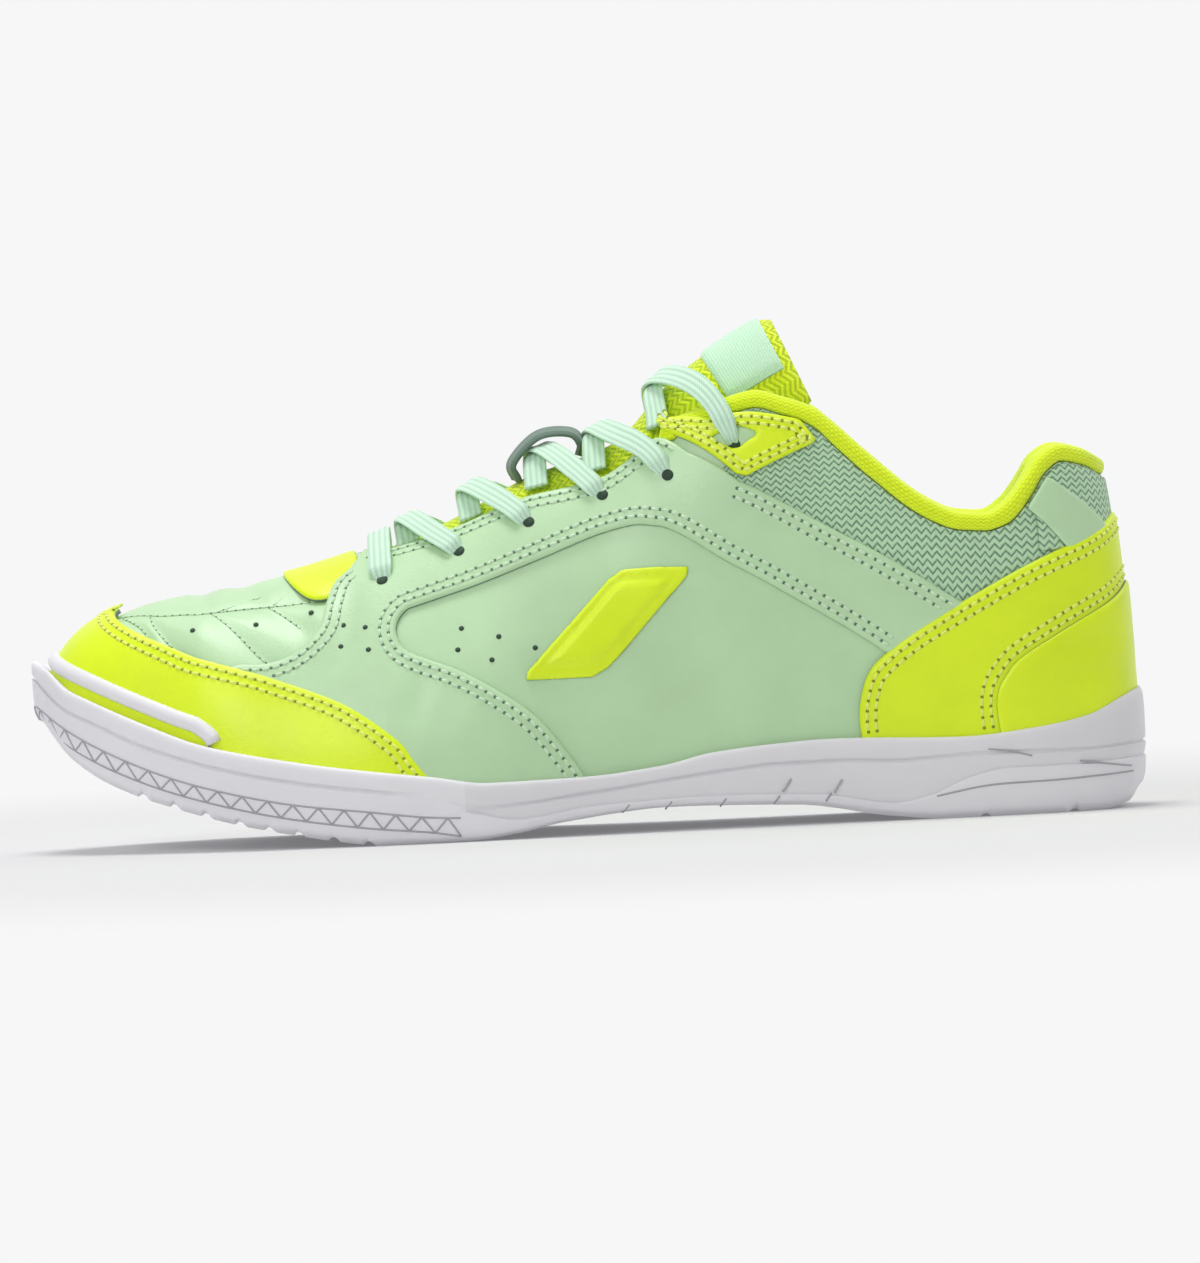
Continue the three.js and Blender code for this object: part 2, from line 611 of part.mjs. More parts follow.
// Tread grooves across the bottom, forefoot and heel.
const treadAlongs = [0.9, 0.872, 0.844, 0.814, 0.788, 0.762, 0.731, 0.7];
const treadCuts = treadAlongs.map((along) => {
  const x = xOf(along);
  const box = new THREE.BoxGeometry(treadWidth, ballWidth * 1.2, treadDepth * 2);
  box.rotateY(Math.atan((bottomZ(x - 2) - bottomZ(x + 2)) / 4));
  box.translate(x, 0, bottomZ(x));
  return solid(box);
});
const heelCuts = [0.07, 0.15].map((along) => {
  const box = new THREE.BoxGeometry(treadWidth, ballWidth * 1.2, treadDepth * 2);
  box.translate(xOf(along), 0, 0);
  return solid(box);
});

const midsole = wholeSole.intersect(prism(rearRegion(0)));
let outsole = wholeSole.subtract(prism(rearRegion(fitGap)));
[...treadCuts, ...heelCuts].forEach((cut) => {
  outsole = outsole.subtract(cut);
});

// Insole inside the wall, on the footbed.
function insoleGeometry() {
  const margin = upperWall + insoleMargin;
  const ring = (lift) => aroundList.map((around) => {
    const point = last(around, 0, -margin);
    return new THREE.Vector3(point.x, point.y, footbedZ(point.x) + fitGap + lift);
  });
  const skin = new Skin();
  const [low, high] = [ring(0), ring(insoleWall)];
  low.forEach((point, j) => {
    const k = (j + 1) % low.length;
    skin.quad(point, high[j], high[k], low[k]);
  });
  across(skin, low, false);
  across(skin, high, true);
  return skin.geometry();
}

// Overlays are cut between two larger forms of the last.
const overlayShell = solid(wallSkin(fitGap, fitGap + overlayWall));
const counterFloor = 2 * fitGap + overlayWall;
const counterShell = solid(wallSkin(counterFloor, counterFloor + counterWall));
const frontX = xOf(1.05);
const backX = xOf(-0.01);
const highZ = instepHeight * 1.3;
const toeCapOutline = [
  ...aboveRand(smooth(toeCapEdge, 16)),
  ...randLine(0.641, 1, 20),
  new THREE.Vector2(frontX, randZ(frontX) + seatGap),
  new THREE.Vector2(frontX, side(toeCapEdge[0]).y),
];
const bandOutline = [
  ...randLine(-0.01, 0.251, 16),
  ...aboveRand(smooth(bandEdge, 16)),
  new THREE.Vector2(backX, 0.677 * instepHeight),
];
const counterOutline = [
  ...randLine(-0.01, 0.129, 12),
  ...aboveRand(smooth(counterEdge, 10)),
  new THREE.Vector2(backX, 0.518 * instepHeight),
];
const patchOutline = patchCorners.map(side);
const sidePatchOutline = sidePatchCorners.map(side);
const tabOutline = tabCorners.map(side);
const windowOutline = [
  ...smooth(windowEdge, 24),
  side([0.225, 0.05]),
  side([0.502, 0.05]),
];
const quarterOutline = [
  ...new THREE.SplineCurve([...vampEdge.map(side), ...vampTop.map(nearRidge)]).getPoints(14),
  new THREE.Vector2(xOf(0.69), highZ),
  new THREE.Vector2(xOf(0.36), highZ),
  ...strapEdge.map(side).reverse(),
  ...randLine(0.15, 0.76, 18),
];
const throatOutline = throatPieceEdge.map(nearRidge);

const cutter = (outline) => prism(grown(outline, fitGap));
const quarters = overlayShell.intersect(prism(quarterOutline))
  .subtract(cutter(toeCapOutline))
  .subtract(cutter(bandOutline))
  .subtract(cutter(patchOutline))
  .subtract(cutter(windowOutline));
const toeCap = overlayShell.intersect(prism(toeCapOutline));
const heelBand = overlayShell.intersect(prism(bandOutline));
const heelCounter = counterShell.intersect(prism(counterOutline));
const heelTab = overlayShell.intersect(prism(tabOutline)).subtract(cutter(bandOutline));
const patches = overlayShell.intersect(prism(patchOutline));
const sidePatches = overlayShell.intersect(prism(sidePatchOutline));
const throatPiece = overlayShell.intersect(prism(throatOutline))
  .subtract(cutter(quarterOutline));

const onSideOf = (body, y) => body.decompose().filter((piece) => {
  const box = piece.boundingBox();
  return Math.sign((box.min[1] + box.max[1]) / 2) === y;
});
const largest = (pieces) => pieces.reduce((best, piece) => (
  piece.volume() > best.volume() ? piece : best));

// Toe bumper: a raised half-round line over the toe cap, down to the rand at both ends.
function bumperGeometry() {
  const from = turnOf(bumperEnd);
  const count = 20;
  const ramp = 3;
  const skin = new Skin();
  const floor = 2 * fitGap + overlayWall;
  const sections = steps(count).map((share) => {
    const around = mix(from, 2 - from, share);
    const ends = Math.min(share, 1 - share) * count;
    const lift = mix(bumperWidth * 0.62, bumperRise, Math.sqrt(Math.min(1, ends / ramp)));
    const at = girthWhere(around, (point) => point.z > randZ(point.x) + lift);
    const centre = last(around, at, floor);
    const normal = last(around, at, floor + 1).sub(centre);
    const up = last(around, at + 0.01, floor).sub(centre).normalize();
    const half = bumperWidth / 2;
    return [[-1, 0], [-0.8, 0.75], [0, 1], [0.8, 0.75], [1, 0]].map(([width, height]) => (
      centre.clone().addScaledVector(up, width * half).addScaledVector(normal, height * bumperProud)));
  });
  sections.forEach((loop, i) => {
    if (i === sections.length - 1) return;
    loop.forEach((point, j) => {
      const k = (j + 1) % loop.length;
      skin.quad(point, loop[k], sections[i + 1][k], sections[i + 1][j]);
    });
  });
  skin.cap(sections[0], true);
  skin.cap(sections[sections.length - 1]);
  return skin.geometry();
}

// Collar lining: a padded roll on the wall's edge that turns down inside the shoe.
function liningGeometry() {
  const skin = new Skin();
  const turns = stations.filter((turn) => turn < turnOf(rollStart - 0.01));
  const arounds = [...turns.slice(1).reverse().map((turn) => -turn), ...turns].map((turn) => -turn);
  const sections = arounds.map((around) => {
    const top = topGirth(around);
    const crest = last(around, top);
    const along = alongOf(crest.x);
    const pad = padDepth(along);
    const skirt = skirtDepth(along);
    const edge = wallEdgeAt(around);
    const edgeDrop = crest.z - last(around, edge).z;
    const steep = Math.max(0.15, edgeDrop / (rollDepth + fitGap));
    const inner = -upperWall - fitGap;
    const profile = [
      [rollDepth, 0.2], [rollDepth * 0.55, 1.1], [rollDepth * 0.12, 0.4], [-0.1, -pad * 0.3 - 0.6],
      [rollDepth * 0.1, inner - pad * 0.55], [rollDepth * 0.9, inner - pad],
      [skirt * 0.6, inner - pad * 0.8], [skirt, inner - 1.2], [skirt, inner],
      [rollDepth + fitGap * 2, inner], [rollDepth, inner + 0.4],
    ];
    return profile.map(([drop, out]) => {
      const height = crest.z - drop * steep;
      const at = drop <= 0 ? top : girthWhere(around, (point) => point.z > height || inThroat(point));
      const point = last(around, Math.min(at, top), out);
      if (drop < 0) point.z -= drop;
      return point;
    });
  });
  sections.forEach((loop, i) => {
    if (i === sections.length - 1) return;
    loop.forEach((point, j) => {
      const k = (j + 1) % loop.length;
      skin.quad(point, sections[i + 1][j], sections[i + 1][k], loop[k]);
    });
  });
  skin.cap(sections[0]);
  skin.cap(sections[sections.length - 1], true);
  return skin.geometry();
}

// Points on the last by their place in plan or from the side.
const aroundAt = (x, sign) => (sign < 0 ? turnOf(alongOf(x)) : 2 - turnOf(alongOf(x)));
function overAt(x, y, out) {
  const middle = ridgeY(x);
  const around = aroundAt(x, Math.sign(y - middle) || -1);
  const at = Math.abs(y - middle) < 0.05 ? 1
    : girthWhere(around, (point) => Math.abs(point.y - middle) < Math.abs(y - middle));
  return last(around, at, out);
}
function onSide(x, z, sign, out) {
  const around = aroundAt(x, sign);
  return last(around, girthWhere(around, (point) => point.z > z), out);
}

// Tongue: hugs the last under the throat, then rises free above the collar.
const tongueUp = follow(tongueRows, 'up');
const tongueLean = follow(tongueRows, 'lean');
const tongueHalf = follow(tongueRows, 'half');
const tongueFall = follow(tongueRows, 'fall');
function tonguePoint(along, share, depth) {
  const x = xOf(along);
  const half = tongueHalf(along) * ballWidth;
  const bend = share * tongueSweep;
  const y = half * Math.sin(bend) / Math.sin(tongueSweep);
  const fall = tongueFall(along) * instepHeight * (1 - Math.cos(bend)) / (1 - Math.cos(tongueSweep));
  const lean = THREE.MathUtils.degToRad(tongueLean(along));
  const normal = new THREE.Vector3(-Math.sin(lean), 0, Math.cos(lean));
  const free = new THREE.Vector3(x, y + ridgeY(x), tongueUp(along) * instepHeight);
  free.addScaledVector(normal, -fall - depth * Math.cos(bend * 0.9));
  free.y -= depth * Math.sin(bend * 0.9) * Math.sign(half);
  const freeShare = ease(tongueFreeFrom, tongueFreeTo, along);
  if (freeShare >= 1) return free;
  const tuck = 3.4 * ease(0.5, 0.41, along) * ease(0.4, 0.75, Math.abs(share));
  const crown = 1.4 * (1 - ease(0.1, 0.5, Math.abs(share))) * ease(0.7, 0.66, along);
  const out = -upperWall - tongueRoom - tuck + crown - depth;
  const hugging = overAt(x, y + ridgeY(x), out);
  return hugging.lerp(free, freeShare);
}
function tongueGeometry() {
  const skin = new Skin();
  const alongs = steps(16).map((share) => mix(tongueRows[0].along, tongueRows.at(-1).along, share));
  const shares = steps(8).map((share) => share * 2 - 1);
  const sections = alongs.map((along) => {
    const taper = mix(0.4, 1, ease(0.735, 0.7, along)) * mix(0.75, 1, ease(0.32, 0.335, along));
    const outer = shares.map((share) => tonguePoint(along, share, 0));
    const inner = shares.map((share) => {
      const thin = 1 - 0.55 * ease(0.75, 1, Math.abs(share));
      return tonguePoint(along, share, tongueThickness * taper * thin);
    });
    return [...outer, ...inner.reverse()];
  });
  sections.forEach((loop, i) => {
    if (i === sections.length - 1) return;
    loop.forEach((point, j) => {
      const k = (j + 1) % loop.length;
      skin.quad(point, sections[i + 1][j], sections[i + 1][k], loop[k]);
    });
  });
  const close = (loop, flip) => {
    for (let j = 0; j < shares.length - 1; j += 1) {
      const [a, b] = [loop[j], loop[j + 1]];
      const [c, d] = [loop[loop.length - 2 - j], loop[loop.length - 1 - j]];
      if (flip) skin.quad(a, d, c, b);
      else skin.quad(a, b, c, d);
    }
  };
  close(sections[0], false);
  close(sections[sections.length - 1], true);
  return skin.geometry();
}

// Slab between two grids of points, used for the label.
function slabGeometry(pointAt, columns, rows, thickness) {
  const skin = new Skin();
  const grid = (depth) => steps(columns).map((u) => steps(rows).map((v) => pointAt(u, v, depth)));
  const [low, high] = [grid(0), grid(thickness)];
  skin.grid(high, false);
  skin.grid(low, false, true);
  for (let i = 0; i < columns; i += 1) {
    skin.quad(low[i][0], high[i][0], high[i + 1][0], low[i + 1][0]);
    skin.quad(high[i][rows], low[i][rows], low[i + 1][rows], high[i + 1][rows]);
  }
  for (let j = 0; j < rows; j += 1) {
    skin.quad(low[0][j], low[0][j + 1], high[0][j + 1], high[0][j]);
    skin.quad(low[columns][j + 1], low[columns][j], high[columns][j], high[columns][j + 1]);
  }
  return skin.geometry();
}
const labelGeometry = slabGeometry((u, v, depth) => (
  tonguePoint(mix(0.375, 0.33, u), mix(0.45, -0.45, v), -fitGap - depth)), 3, 6, labelThickness);

// Tape with rounded edges along points, lying on the given normals.
function tapeGeometry(path, normals, width, thickness) {
  const skin = new Skin();
  const sections = path.map((point, i) => {
    const before = path[Math.max(0, i - 1)];
    const after = path[Math.min(path.length - 1, i + 1)];
    const ahead = after.clone().sub(before).normalize();
    const breadth = normals[i].clone().cross(ahead).normalize();
    const up = ahead.clone().cross(breadth).normalize();
    const [w, t] = [width / 2, thickness / 2];
    return [[-w, -t], [-w, t], [w, t], [w, -t]]
      .map(([a, b]) => point.clone().addScaledVector(breadth, a).addScaledVector(up, b));
  });
  sections.forEach((loop, i) => {
    if (i === sections.length - 1) return;
    loop.forEach((point, j) => {
      const k = (j + 1) % loop.length;
      skin.quad(point, sections[i + 1][j], sections[i + 1][k], loop[k]);
    });
  });
  skin.cap(sections[0]);
  skin.cap(sections[sections.length - 1], true);
  return skin.geometry();
}

// Lace strands. Each leaves under one edge of the throat, crosses over and ends on an eyelet.
const laceFloor = 3.4 * fitGap + overlayWall + laceThickness / 2;
const laceUnder = -1;
const laceTuck = 3;
const laceBend = 2.2;
const laceSteps = 9;
function strand(leave, fromSide, toRow, lift) {
  const startX = xOf(leave);
  const startY = ridgeY(startX) + fromSide * (throatHalf(startX) - laceTuck);
  const end = onSide(xOf(toRow.along), toRow.up * instepHeight, -fromSide, 0);
  const sampleAt = (share, out) => overAt(
    mix(startX, end.x, share ** laceBend), mix(startY, end.y, share), out,
  );
  const outAt = (share) => mix(laceUnder, laceFloor, ease(0, 0.36, share))
    + lift * Math.sin(Math.PI * clamp(share * 1.1, 0, 1)) ** 2;
  const path = steps(laceSteps).map((share) => sampleAt(share, outAt(share)));
  const normals = steps(laceSteps).map((share) => (
    sampleAt(share, 1).sub(sampleAt(share, 0)).normalize()));
  return solid(tapeGeometry(path, normals, laceWidth, laceThickness));
}
function bottomBar(row) {
  const [from, to] = [-1, 1].map((sign) => (
    onSide(xOf(row.along), row.up * instepHeight, sign, 0)));
  const sampleAt = (share, out) => overAt(mix(from.x, to.x, share), mix(from.y, to.y, share), out);
  const path = steps(laceSteps).map((share) => sampleAt(share, laceFloor));
  const normals = steps(laceSteps).map((share) => (
    sampleAt(share, 1).sub(sampleAt(share, 0)).normalize()));
  return solid(tapeGeometry(path, normals, laceWidth, laceThickness));
}
const laces = [bottomBar(eyeletRows[0])];
for (let i = 0; i < eyeletRows.length - 1; i += 1) {
  const [low, high] = [eyeletRows[i], eyeletRows[i + 1]];
  laces.push(strand(low.leave, -1, high, 0.1).add(strand(low.leave, 1, high, 1.2)));
}

// Lace keeper: a small webbing arch on the tongue that the laces run under.
function keeperGeometry() {
  const [front, rear] = keeperFeet;
  const foot = (along) => tonguePoint(along, 0, -fitGap - keeperThickness / 2);
  const peak = foot((front + rear) / 2);
  peak.z += keeperRise;
  const [start, end] = [foot(front), foot(rear)];
  const curve = new THREE.CatmullRomCurve3([
    start, start.clone().lerp(peak, 0.75).add(new THREE.Vector3(-keeperBow, 0, 1)), peak,
    end.clone().lerp(peak, 0.75).add(new THREE.Vector3(keeperBow, 0, 1)), end,
  ]);
  const bends = 12;
  const path = curve.getPoints(bends);
  const normals = path.map((_, i) => {
    const ahead = path[Math.min(bends, i + 1)].clone().sub(path[Math.max(0, i - 1)]);
    return new THREE.Vector3(-ahead.z, 0, ahead.x);
  });
  return tapeGeometry(path, normals, keeperWidth, keeperThickness);
}

// The shoe
const shoe = new THREE.Group();
function add(name, geometry, color, roughness) {
  const material = new THREE.MeshStandardMaterial({ color, roughness, metalness: 0 });
  const mesh = new THREE.Mesh(geometry, material);
  mesh.name = name;
  shoe.add(mesh);
}
add('outsole', geometryOf(outsole), white, 0.55);
add('midsole', geometryOf(midsole), grey, 0.6);
add('insole', insoleGeometry(), neon, 0.9);
add('upper', wallSkin(-upperWall, 0), mint, 0.5);
add('toe_cap', geometryOf(toeCap), neon, 0.45);
add('toe_bumper', bumperGeometry(), white, 0.5);
[['lateral', -1], ['medial', 1]].forEach(([word, sign]) => {
  add(`quarter_${word}`, geometryOf(largest(onSideOf(quarters, sign))), mint, 0.5);
  add(`side_patch_${word}`, geometryOf(largest(onSideOf(sidePatches, sign))), neon, 0.5);
  add(`eyelet_patch_${word}`, geometryOf(largest(onSideOf(patches, sign))), neon, 0.5);
});
add('throat_piece', geometryOf(largest(throatPiece.decompose())), neon, 0.5);
add('heel_band', geometryOf(heelBand), neon, 0.45);
add('heel_counter', geometryOf(heelCounter), neon, 0.45);
add('heel_tab', geometryOf(largest(heelTab.decompose())), mint, 0.5);
add('collar_lining', liningGeometry(), neon, 0.9);
add('tongue', tongueGeometry(), neon, 0.9);
add('tongue_label', labelGeometry, meshMint, 0.7);
add('lace_keeper', keeperGeometry(), keeperGreen, 0.8);
laces.forEach((lace, i) => {
  add(i === 0 ? 'lace_bar' : `lace_crossing_${i}`, geometryOf(lace), laceMint, 0.8);
});

export default shoe;
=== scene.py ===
# Indoor soccer shoe, left foot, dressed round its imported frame.
import math
import bpy
import numpy as np
from mathutils import Matrix, Vector
from mathutils.geometry import delaunay_2d_cdt


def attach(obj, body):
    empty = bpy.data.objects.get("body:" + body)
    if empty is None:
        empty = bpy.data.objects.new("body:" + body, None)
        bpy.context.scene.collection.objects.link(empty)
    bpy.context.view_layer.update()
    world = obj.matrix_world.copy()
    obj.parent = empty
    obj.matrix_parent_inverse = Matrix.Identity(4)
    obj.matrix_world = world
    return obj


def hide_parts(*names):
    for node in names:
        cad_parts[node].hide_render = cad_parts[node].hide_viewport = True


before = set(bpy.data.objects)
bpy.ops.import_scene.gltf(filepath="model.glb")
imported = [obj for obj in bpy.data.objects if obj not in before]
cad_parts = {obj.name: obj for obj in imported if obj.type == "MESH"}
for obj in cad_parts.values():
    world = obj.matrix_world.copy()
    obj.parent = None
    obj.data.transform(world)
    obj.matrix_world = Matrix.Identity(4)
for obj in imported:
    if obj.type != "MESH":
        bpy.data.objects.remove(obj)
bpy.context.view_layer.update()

# Sizes are in millimetres; meshes and the camera are turned into metres by MM.
MM = 0.001
LENGTH = 292.0
BALL_WIDTH = 104.0
INSTEP_HEIGHT = 114.0
SOLE_HEIGHT = 31.5
UPPER_WALL = 2.2
UPPER_INSET = 4.4
ROLL_DEPTH = 4.7
FIT_GAP = 0.35
TOE_POLE = 0.85
HEEL_POLE = 0.13
THROAT_FRONT = 0.702
THROAT_END = 0.425
COLLAR_START = 0.445
ROLL_START = 0.452
OVERLAY = 1.45
TOP_OVERLAY = 1.85
COUNTER = 1.05
LACE_WIDTH = 6.4
LACE_THICKNESS = 1.5
TONGUE_THICKNESS = 5.0
STITCH_PITCH = 2.7
QUILT_DEPTH = 1.0
QUILT_HALF_WIDTH = 3.2
SIDES = ("lateral", "medial")


def table(names, *rows):
    return {name: np.array([row[i] for row in rows], float) for i, name in enumerate(names.split())}


def spread(*values):
    return np.broadcast_arrays(*(np.asarray(value, float) for value in values))


def run_along(points):
    """Distance walked from the first point to each point."""
    return np.concatenate([[0], np.cumsum(np.linalg.norm(np.diff(points, axis=0), axis=1))])


# Places along the shoe run from 0 at the heel to 1 at the toe. Plan columns are shares of the
# ball's width, sole heights of the sole's height, upper heights of the instep's height.
PLAN = table(
    "along half middle",
    (0, 0, 0), (0.02, 0.18, 0), (0.05, 0.254, 0), (0.1, 0.308, 0), (0.2, 0.339, -0.003),
    (0.3, 0.334, -0.017), (0.4, 0.337, -0.034), (0.5, 0.375, -0.038), (0.6, 0.442, -0.019),
    (0.7, 0.49, 0.014), (0.8, 0.464, 0.036), (0.9, 0.352, 0.046), (0.95, 0.26, 0.043),
    (0.98, 0.168, 0.04), (1, 0, 0.038),
)
BOTTOM = table(
    "along up",
    (0.99, 1.09), (0.964, 0.79), (0.924, 0.549), (0.86, 0.33), (0.81, 0.2), (0.763, 0.108),
    (0.712, 0.025), (0.69, 0), (0.615, 0), (0.566, 0.051), (0.526, 0.121), (0.43, 0.2),
    (0.316, 0.168), (0.233, 0.041), (0.185, 0), (0.048, 0), (0.02, 0.05), (0.008, 0.16),
)
RAND = table(
    "along up",
    (1, 1.625), (0.984, 1.543), (0.969, 1.394), (0.944, 1.273), (0.89, 1.044), (0.846, 0.886),
    (0.782, 0.752), (0.726, 0.66), (0.64, 0.546), (0.592, 0.479), (0.507, 0.489), (0.437, 0.549),
    (0.391, 0.638), (0.333, 0.686), (0.285, 0.705), (0.164, 0.673), (0.11, 0.711), (0.055, 0.795),
    (0.022, 0.93), (0.006, 0.99), (0, 1),
)
FOOTBED = table(
    "along up",
    (1, 1.14), (0.96, 1.0), (0.9, 0.72), (0.82, 0.47), (0.74, 0.32), (0.66, 0.27), (0.58, 0.28),
    (0.45, 0.38), (0.3, 0.44), (0.15, 0.45), (0, 0.47),
)
GROOVE = table(
    "along up depth",
    (1, 1.49, 1), (0.97, 1.213, 1), (0.945, 1.094, 1), (0.895, 0.874, 1), (0.834, 0.691, 1),
    (0.762, 0.544, 1), (0.692, 0.449, 0.9), (0.64, 0.38, 0.1), (0.597, 0.276, 0.5),
    (0.496, 0.36, 0.9), (0.392, 0.47, 0.9), (0.334, 0.517, 0.9), (0.276, 0.521, 0.9),
    (0.224, 0.5, 0.9), (0.15, 0.53, 0.6), (0.06, 0.52, 0.7), (0, 0.55, 0.7),
)
PARTING = table(
    "along up",
    (0.631, 0.62), (0.613, 0.337), (0.591, 0.206), (0.566, 0.17), (0.496, 0.25), (0.392, 0.28),
    (0.295, 0.25), (0.228, 0.15), (0.199, 0.2), (0.161, 0.34), (0.13, 0.4), (0.06, 0.4),
    (0.03, 0.41), (0, 0.43),
)
RIDGE = table(
    "along up rise reach",
    (0.85, 0.584, 0.66, 0.6), (0.767, 0.617, 0.52, 0.5), (0.719, 0.648, 0.48, 0.48),
    (0.671, 0.688, 0.48, 0.48), (0.61, 0.752, 0.5, 0.5), (0.548, 0.833, 0.54, 0.55),
    (0.476, 0.894, 0.6, 0.62), (0.428, 0.985, 0.68, 0.72), (0.339, 1.15, 0.78, 0.78),
    (0.243, 1.2, 0.78, 0.76), (0.13, 1.16, 0.74, 0.66),
)
THROAT = table(
    "along half",
    (0.702, 0), (0.699, 0.035), (0.69, 0.07), (0.672, 0.1), (0.61, 0.125), (0.548, 0.14),
    (0.476, 0.155), (0.425, 0.17),
)
COLLAR = table(
    "along up pad skirt",
    (0.452, 0.93, 1.6, 7), (0.421, 0.94, 1.8, 9), (0.368, 0.984, 2.2, 11), (0.339, 1, 2.6, 13),
    (0.314, 0.982, 3, 16), (0.287, 0.955, 3.6, 18), (0.271, 0.921, 4.4, 20), (0.239, 0.843, 6.4, 23),
    (0.187, 0.732, 8, 25), (0.16, 0.7, 8, 25), (0.138, 0.695, 8, 26), (0.12, 0.72, 8, 28),
    (0.102, 0.775, 8, 30), (0.086, 0.825, 8, 32), (0.07, 0.845, 8, 32), (0.05, 0.834, 8, 32),
    (0.029, 0.802, 8, 31), (0, 0.77, 8, 30),
)
TONGUE = table(
    "along up lean half fall",
    (0.735, 0.6, 12, 0.15, 0.05), (0.69, 0.635, 15, 0.18, 0.06), (0.61, 0.7, 23, 0.195, 0.08),
    (0.548, 0.79, 26, 0.19, 0.1), (0.476, 0.895, 34, 0.18, 0.14), (0.43, 0.995, 38, 0.16, 0.18),
    (0.395, 1.06, 31, 0.15, 0.21), (0.358, 1.12, 29, 0.15, 0.22), (0.323, 1.168, 24, 0.15, 0.22),
)
EYELETS = table(
    "along up leave",
    (0.678, 0.594, 0.656), (0.608, 0.654, 0.599), (0.545, 0.715, 0.538), (0.478, 0.77, 0.485),
    (0.419, 0.812, 0.428), (0.359, 0.877, 0.359),
)

# Panel edges seen from the side, as shares of the length and of the instep's height.
TOE_CAP_EDGE = [
    (0.927, 0.55), (0.914, 0.519), (0.89, 0.486), (0.853, 0.445), (0.786, 0.39), (0.723, 0.329),
    (0.673, 0.242), (0.657, 0.189), (0.64, 0.13), (0.634, 0.09),
]
VAMP_EDGE = [
    (0.7, 0.15), (0.725, 0.24), (0.785, 0.325), (0.812, 0.37), (0.824, 0.405), (0.81, 0.42),
    (0.785, 0.42), (0.758, 0.443), (0.737, 0.491), (0.73, 0.545), (0.722, 0.59), (0.708, 0.62),
]
WINDOW_EDGE = [
    (0.498, 0.08), (0.507, 0.138), (0.518, 0.182), (0.551, 0.285), (0.608, 0.381), (0.65, 0.425),
    (0.664, 0.45), (0.668, 0.49), (0.66, 0.525), (0.643, 0.542), (0.545, 0.625), (0.486, 0.681),
    (0.455, 0.7), (0.435, 0.698), (0.42, 0.688), (0.376, 0.618), (0.327, 0.543), (0.255, 0.425),
    (0.225, 0.37),
]
STRAP_EDGE = [(0.15, 0.47), (0.19, 0.539), (0.27, 0.665), (0.315, 0.733), (0.356, 0.79)]
BAND_EDGE = [
    (0.251, 0.12), (0.258, 0.2), (0.258, 0.266), (0.25, 0.335), (0.235, 0.378), (0.203, 0.435),
    (0.125, 0.543), (0.065, 0.611),
]
BAND_BACK = 0.677
COUNTER_EDGE = [
    (0.129, 0.12), (0.135, 0.2), (0.136, 0.271), (0.127, 0.32), (0.107, 0.368), (0.04, 0.467),
]
COUNTER_BACK = 0.518
PATCH_CORNERS = [
    (0.427, 0.935), (0.422, 0.907), (0.354, 0.794), (0.285, 0.873), (0.3, 0.925), (0.335, 0.945),
    (0.38, 0.936),
]
LOZENGE_CORNERS = [(0.56, 0.36), (0.47, 0.6), (0.4, 0.6), (0.49, 0.36)]
PATCH_HOLE = [(0.384, 0.889), (0.357, 0.922), (0.333, 0.897), (0.358, 0.855)]
TAB_CORNERS = [(0.101, 0.695), (0.085, 0.66), (0.063, 0.59), (0.028, 0.63), (0.082, 0.765)]
KEEPER_FEET = (0.557, 0.499)
QUILT_LINES = [
    [(0.923, 0.541), (0.88, 0.545), (0.839, 0.547), (0.794, 0.554), (0.735, 0.565)],
    [(0.915, 0.541), (0.9, 0.52), (0.89, 0.49)],
    [(0.89, 0.541), (0.869, 0.466), (0.85, 0.43)],
    [(0.834, 0.546), (0.795, 0.45), (0.78, 0.42)],
    [(0.782, 0.553), (0.751, 0.496)],
    [(0.862, 0.64), (0.85, 0.622), (0.834, 0.546)],
    [(0.815, 0.63), (0.809, 0.606), (0.782, 0.553)],
]
VAMP_HOLES = [(0.851, 0.505), (0.794, 0.512), (0.744, 0.532)]
QUARTER_HOLES = [(0.715, 0.498), (0.695, 0.489), (0.718, 0.451), (0.693, 0.439)]
WINDOW_HOLES = [
    (0.61, 0.484), (0.577, 0.462), (0.545, 0.433), (0.513, 0.408), (0.614, 0.436),
    (0.584, 0.41), (0.547, 0.38),
]

# Main creases: soft troughs (negative depth) and ridges, each from one side-view point to another,
# with depth and half width in millimetres.
CREASES = [
    ((0.7, 0.6), (0.725, 0.36), -0.825, 3.2), ((0.725, 0.6), (0.755, 0.38), 0.525, 3.5),
    ((0.64, 0.42), (0.66, 0.25), -0.6, 3.6), ((0.6, 0.34), (0.62, 0.2), 0.45, 4.0),
    ((0.5, 0.3), (0.57, 0.42), -0.45, 4.0), ((0.3, 0.24), (0.36, 0.47), -0.42, 5.0),
    ((0.02, 0.40), (0.09, 0.37), -0.45, 2.4), ((0.01, 0.33), (0.08, 0.3), -0.33, 2.6),
    ((0.25, 0.66), (0.33, 0.58), -0.375, 3.0), ((0.2, 0.6), (0.26, 0.74), -0.525, 3.4),
]


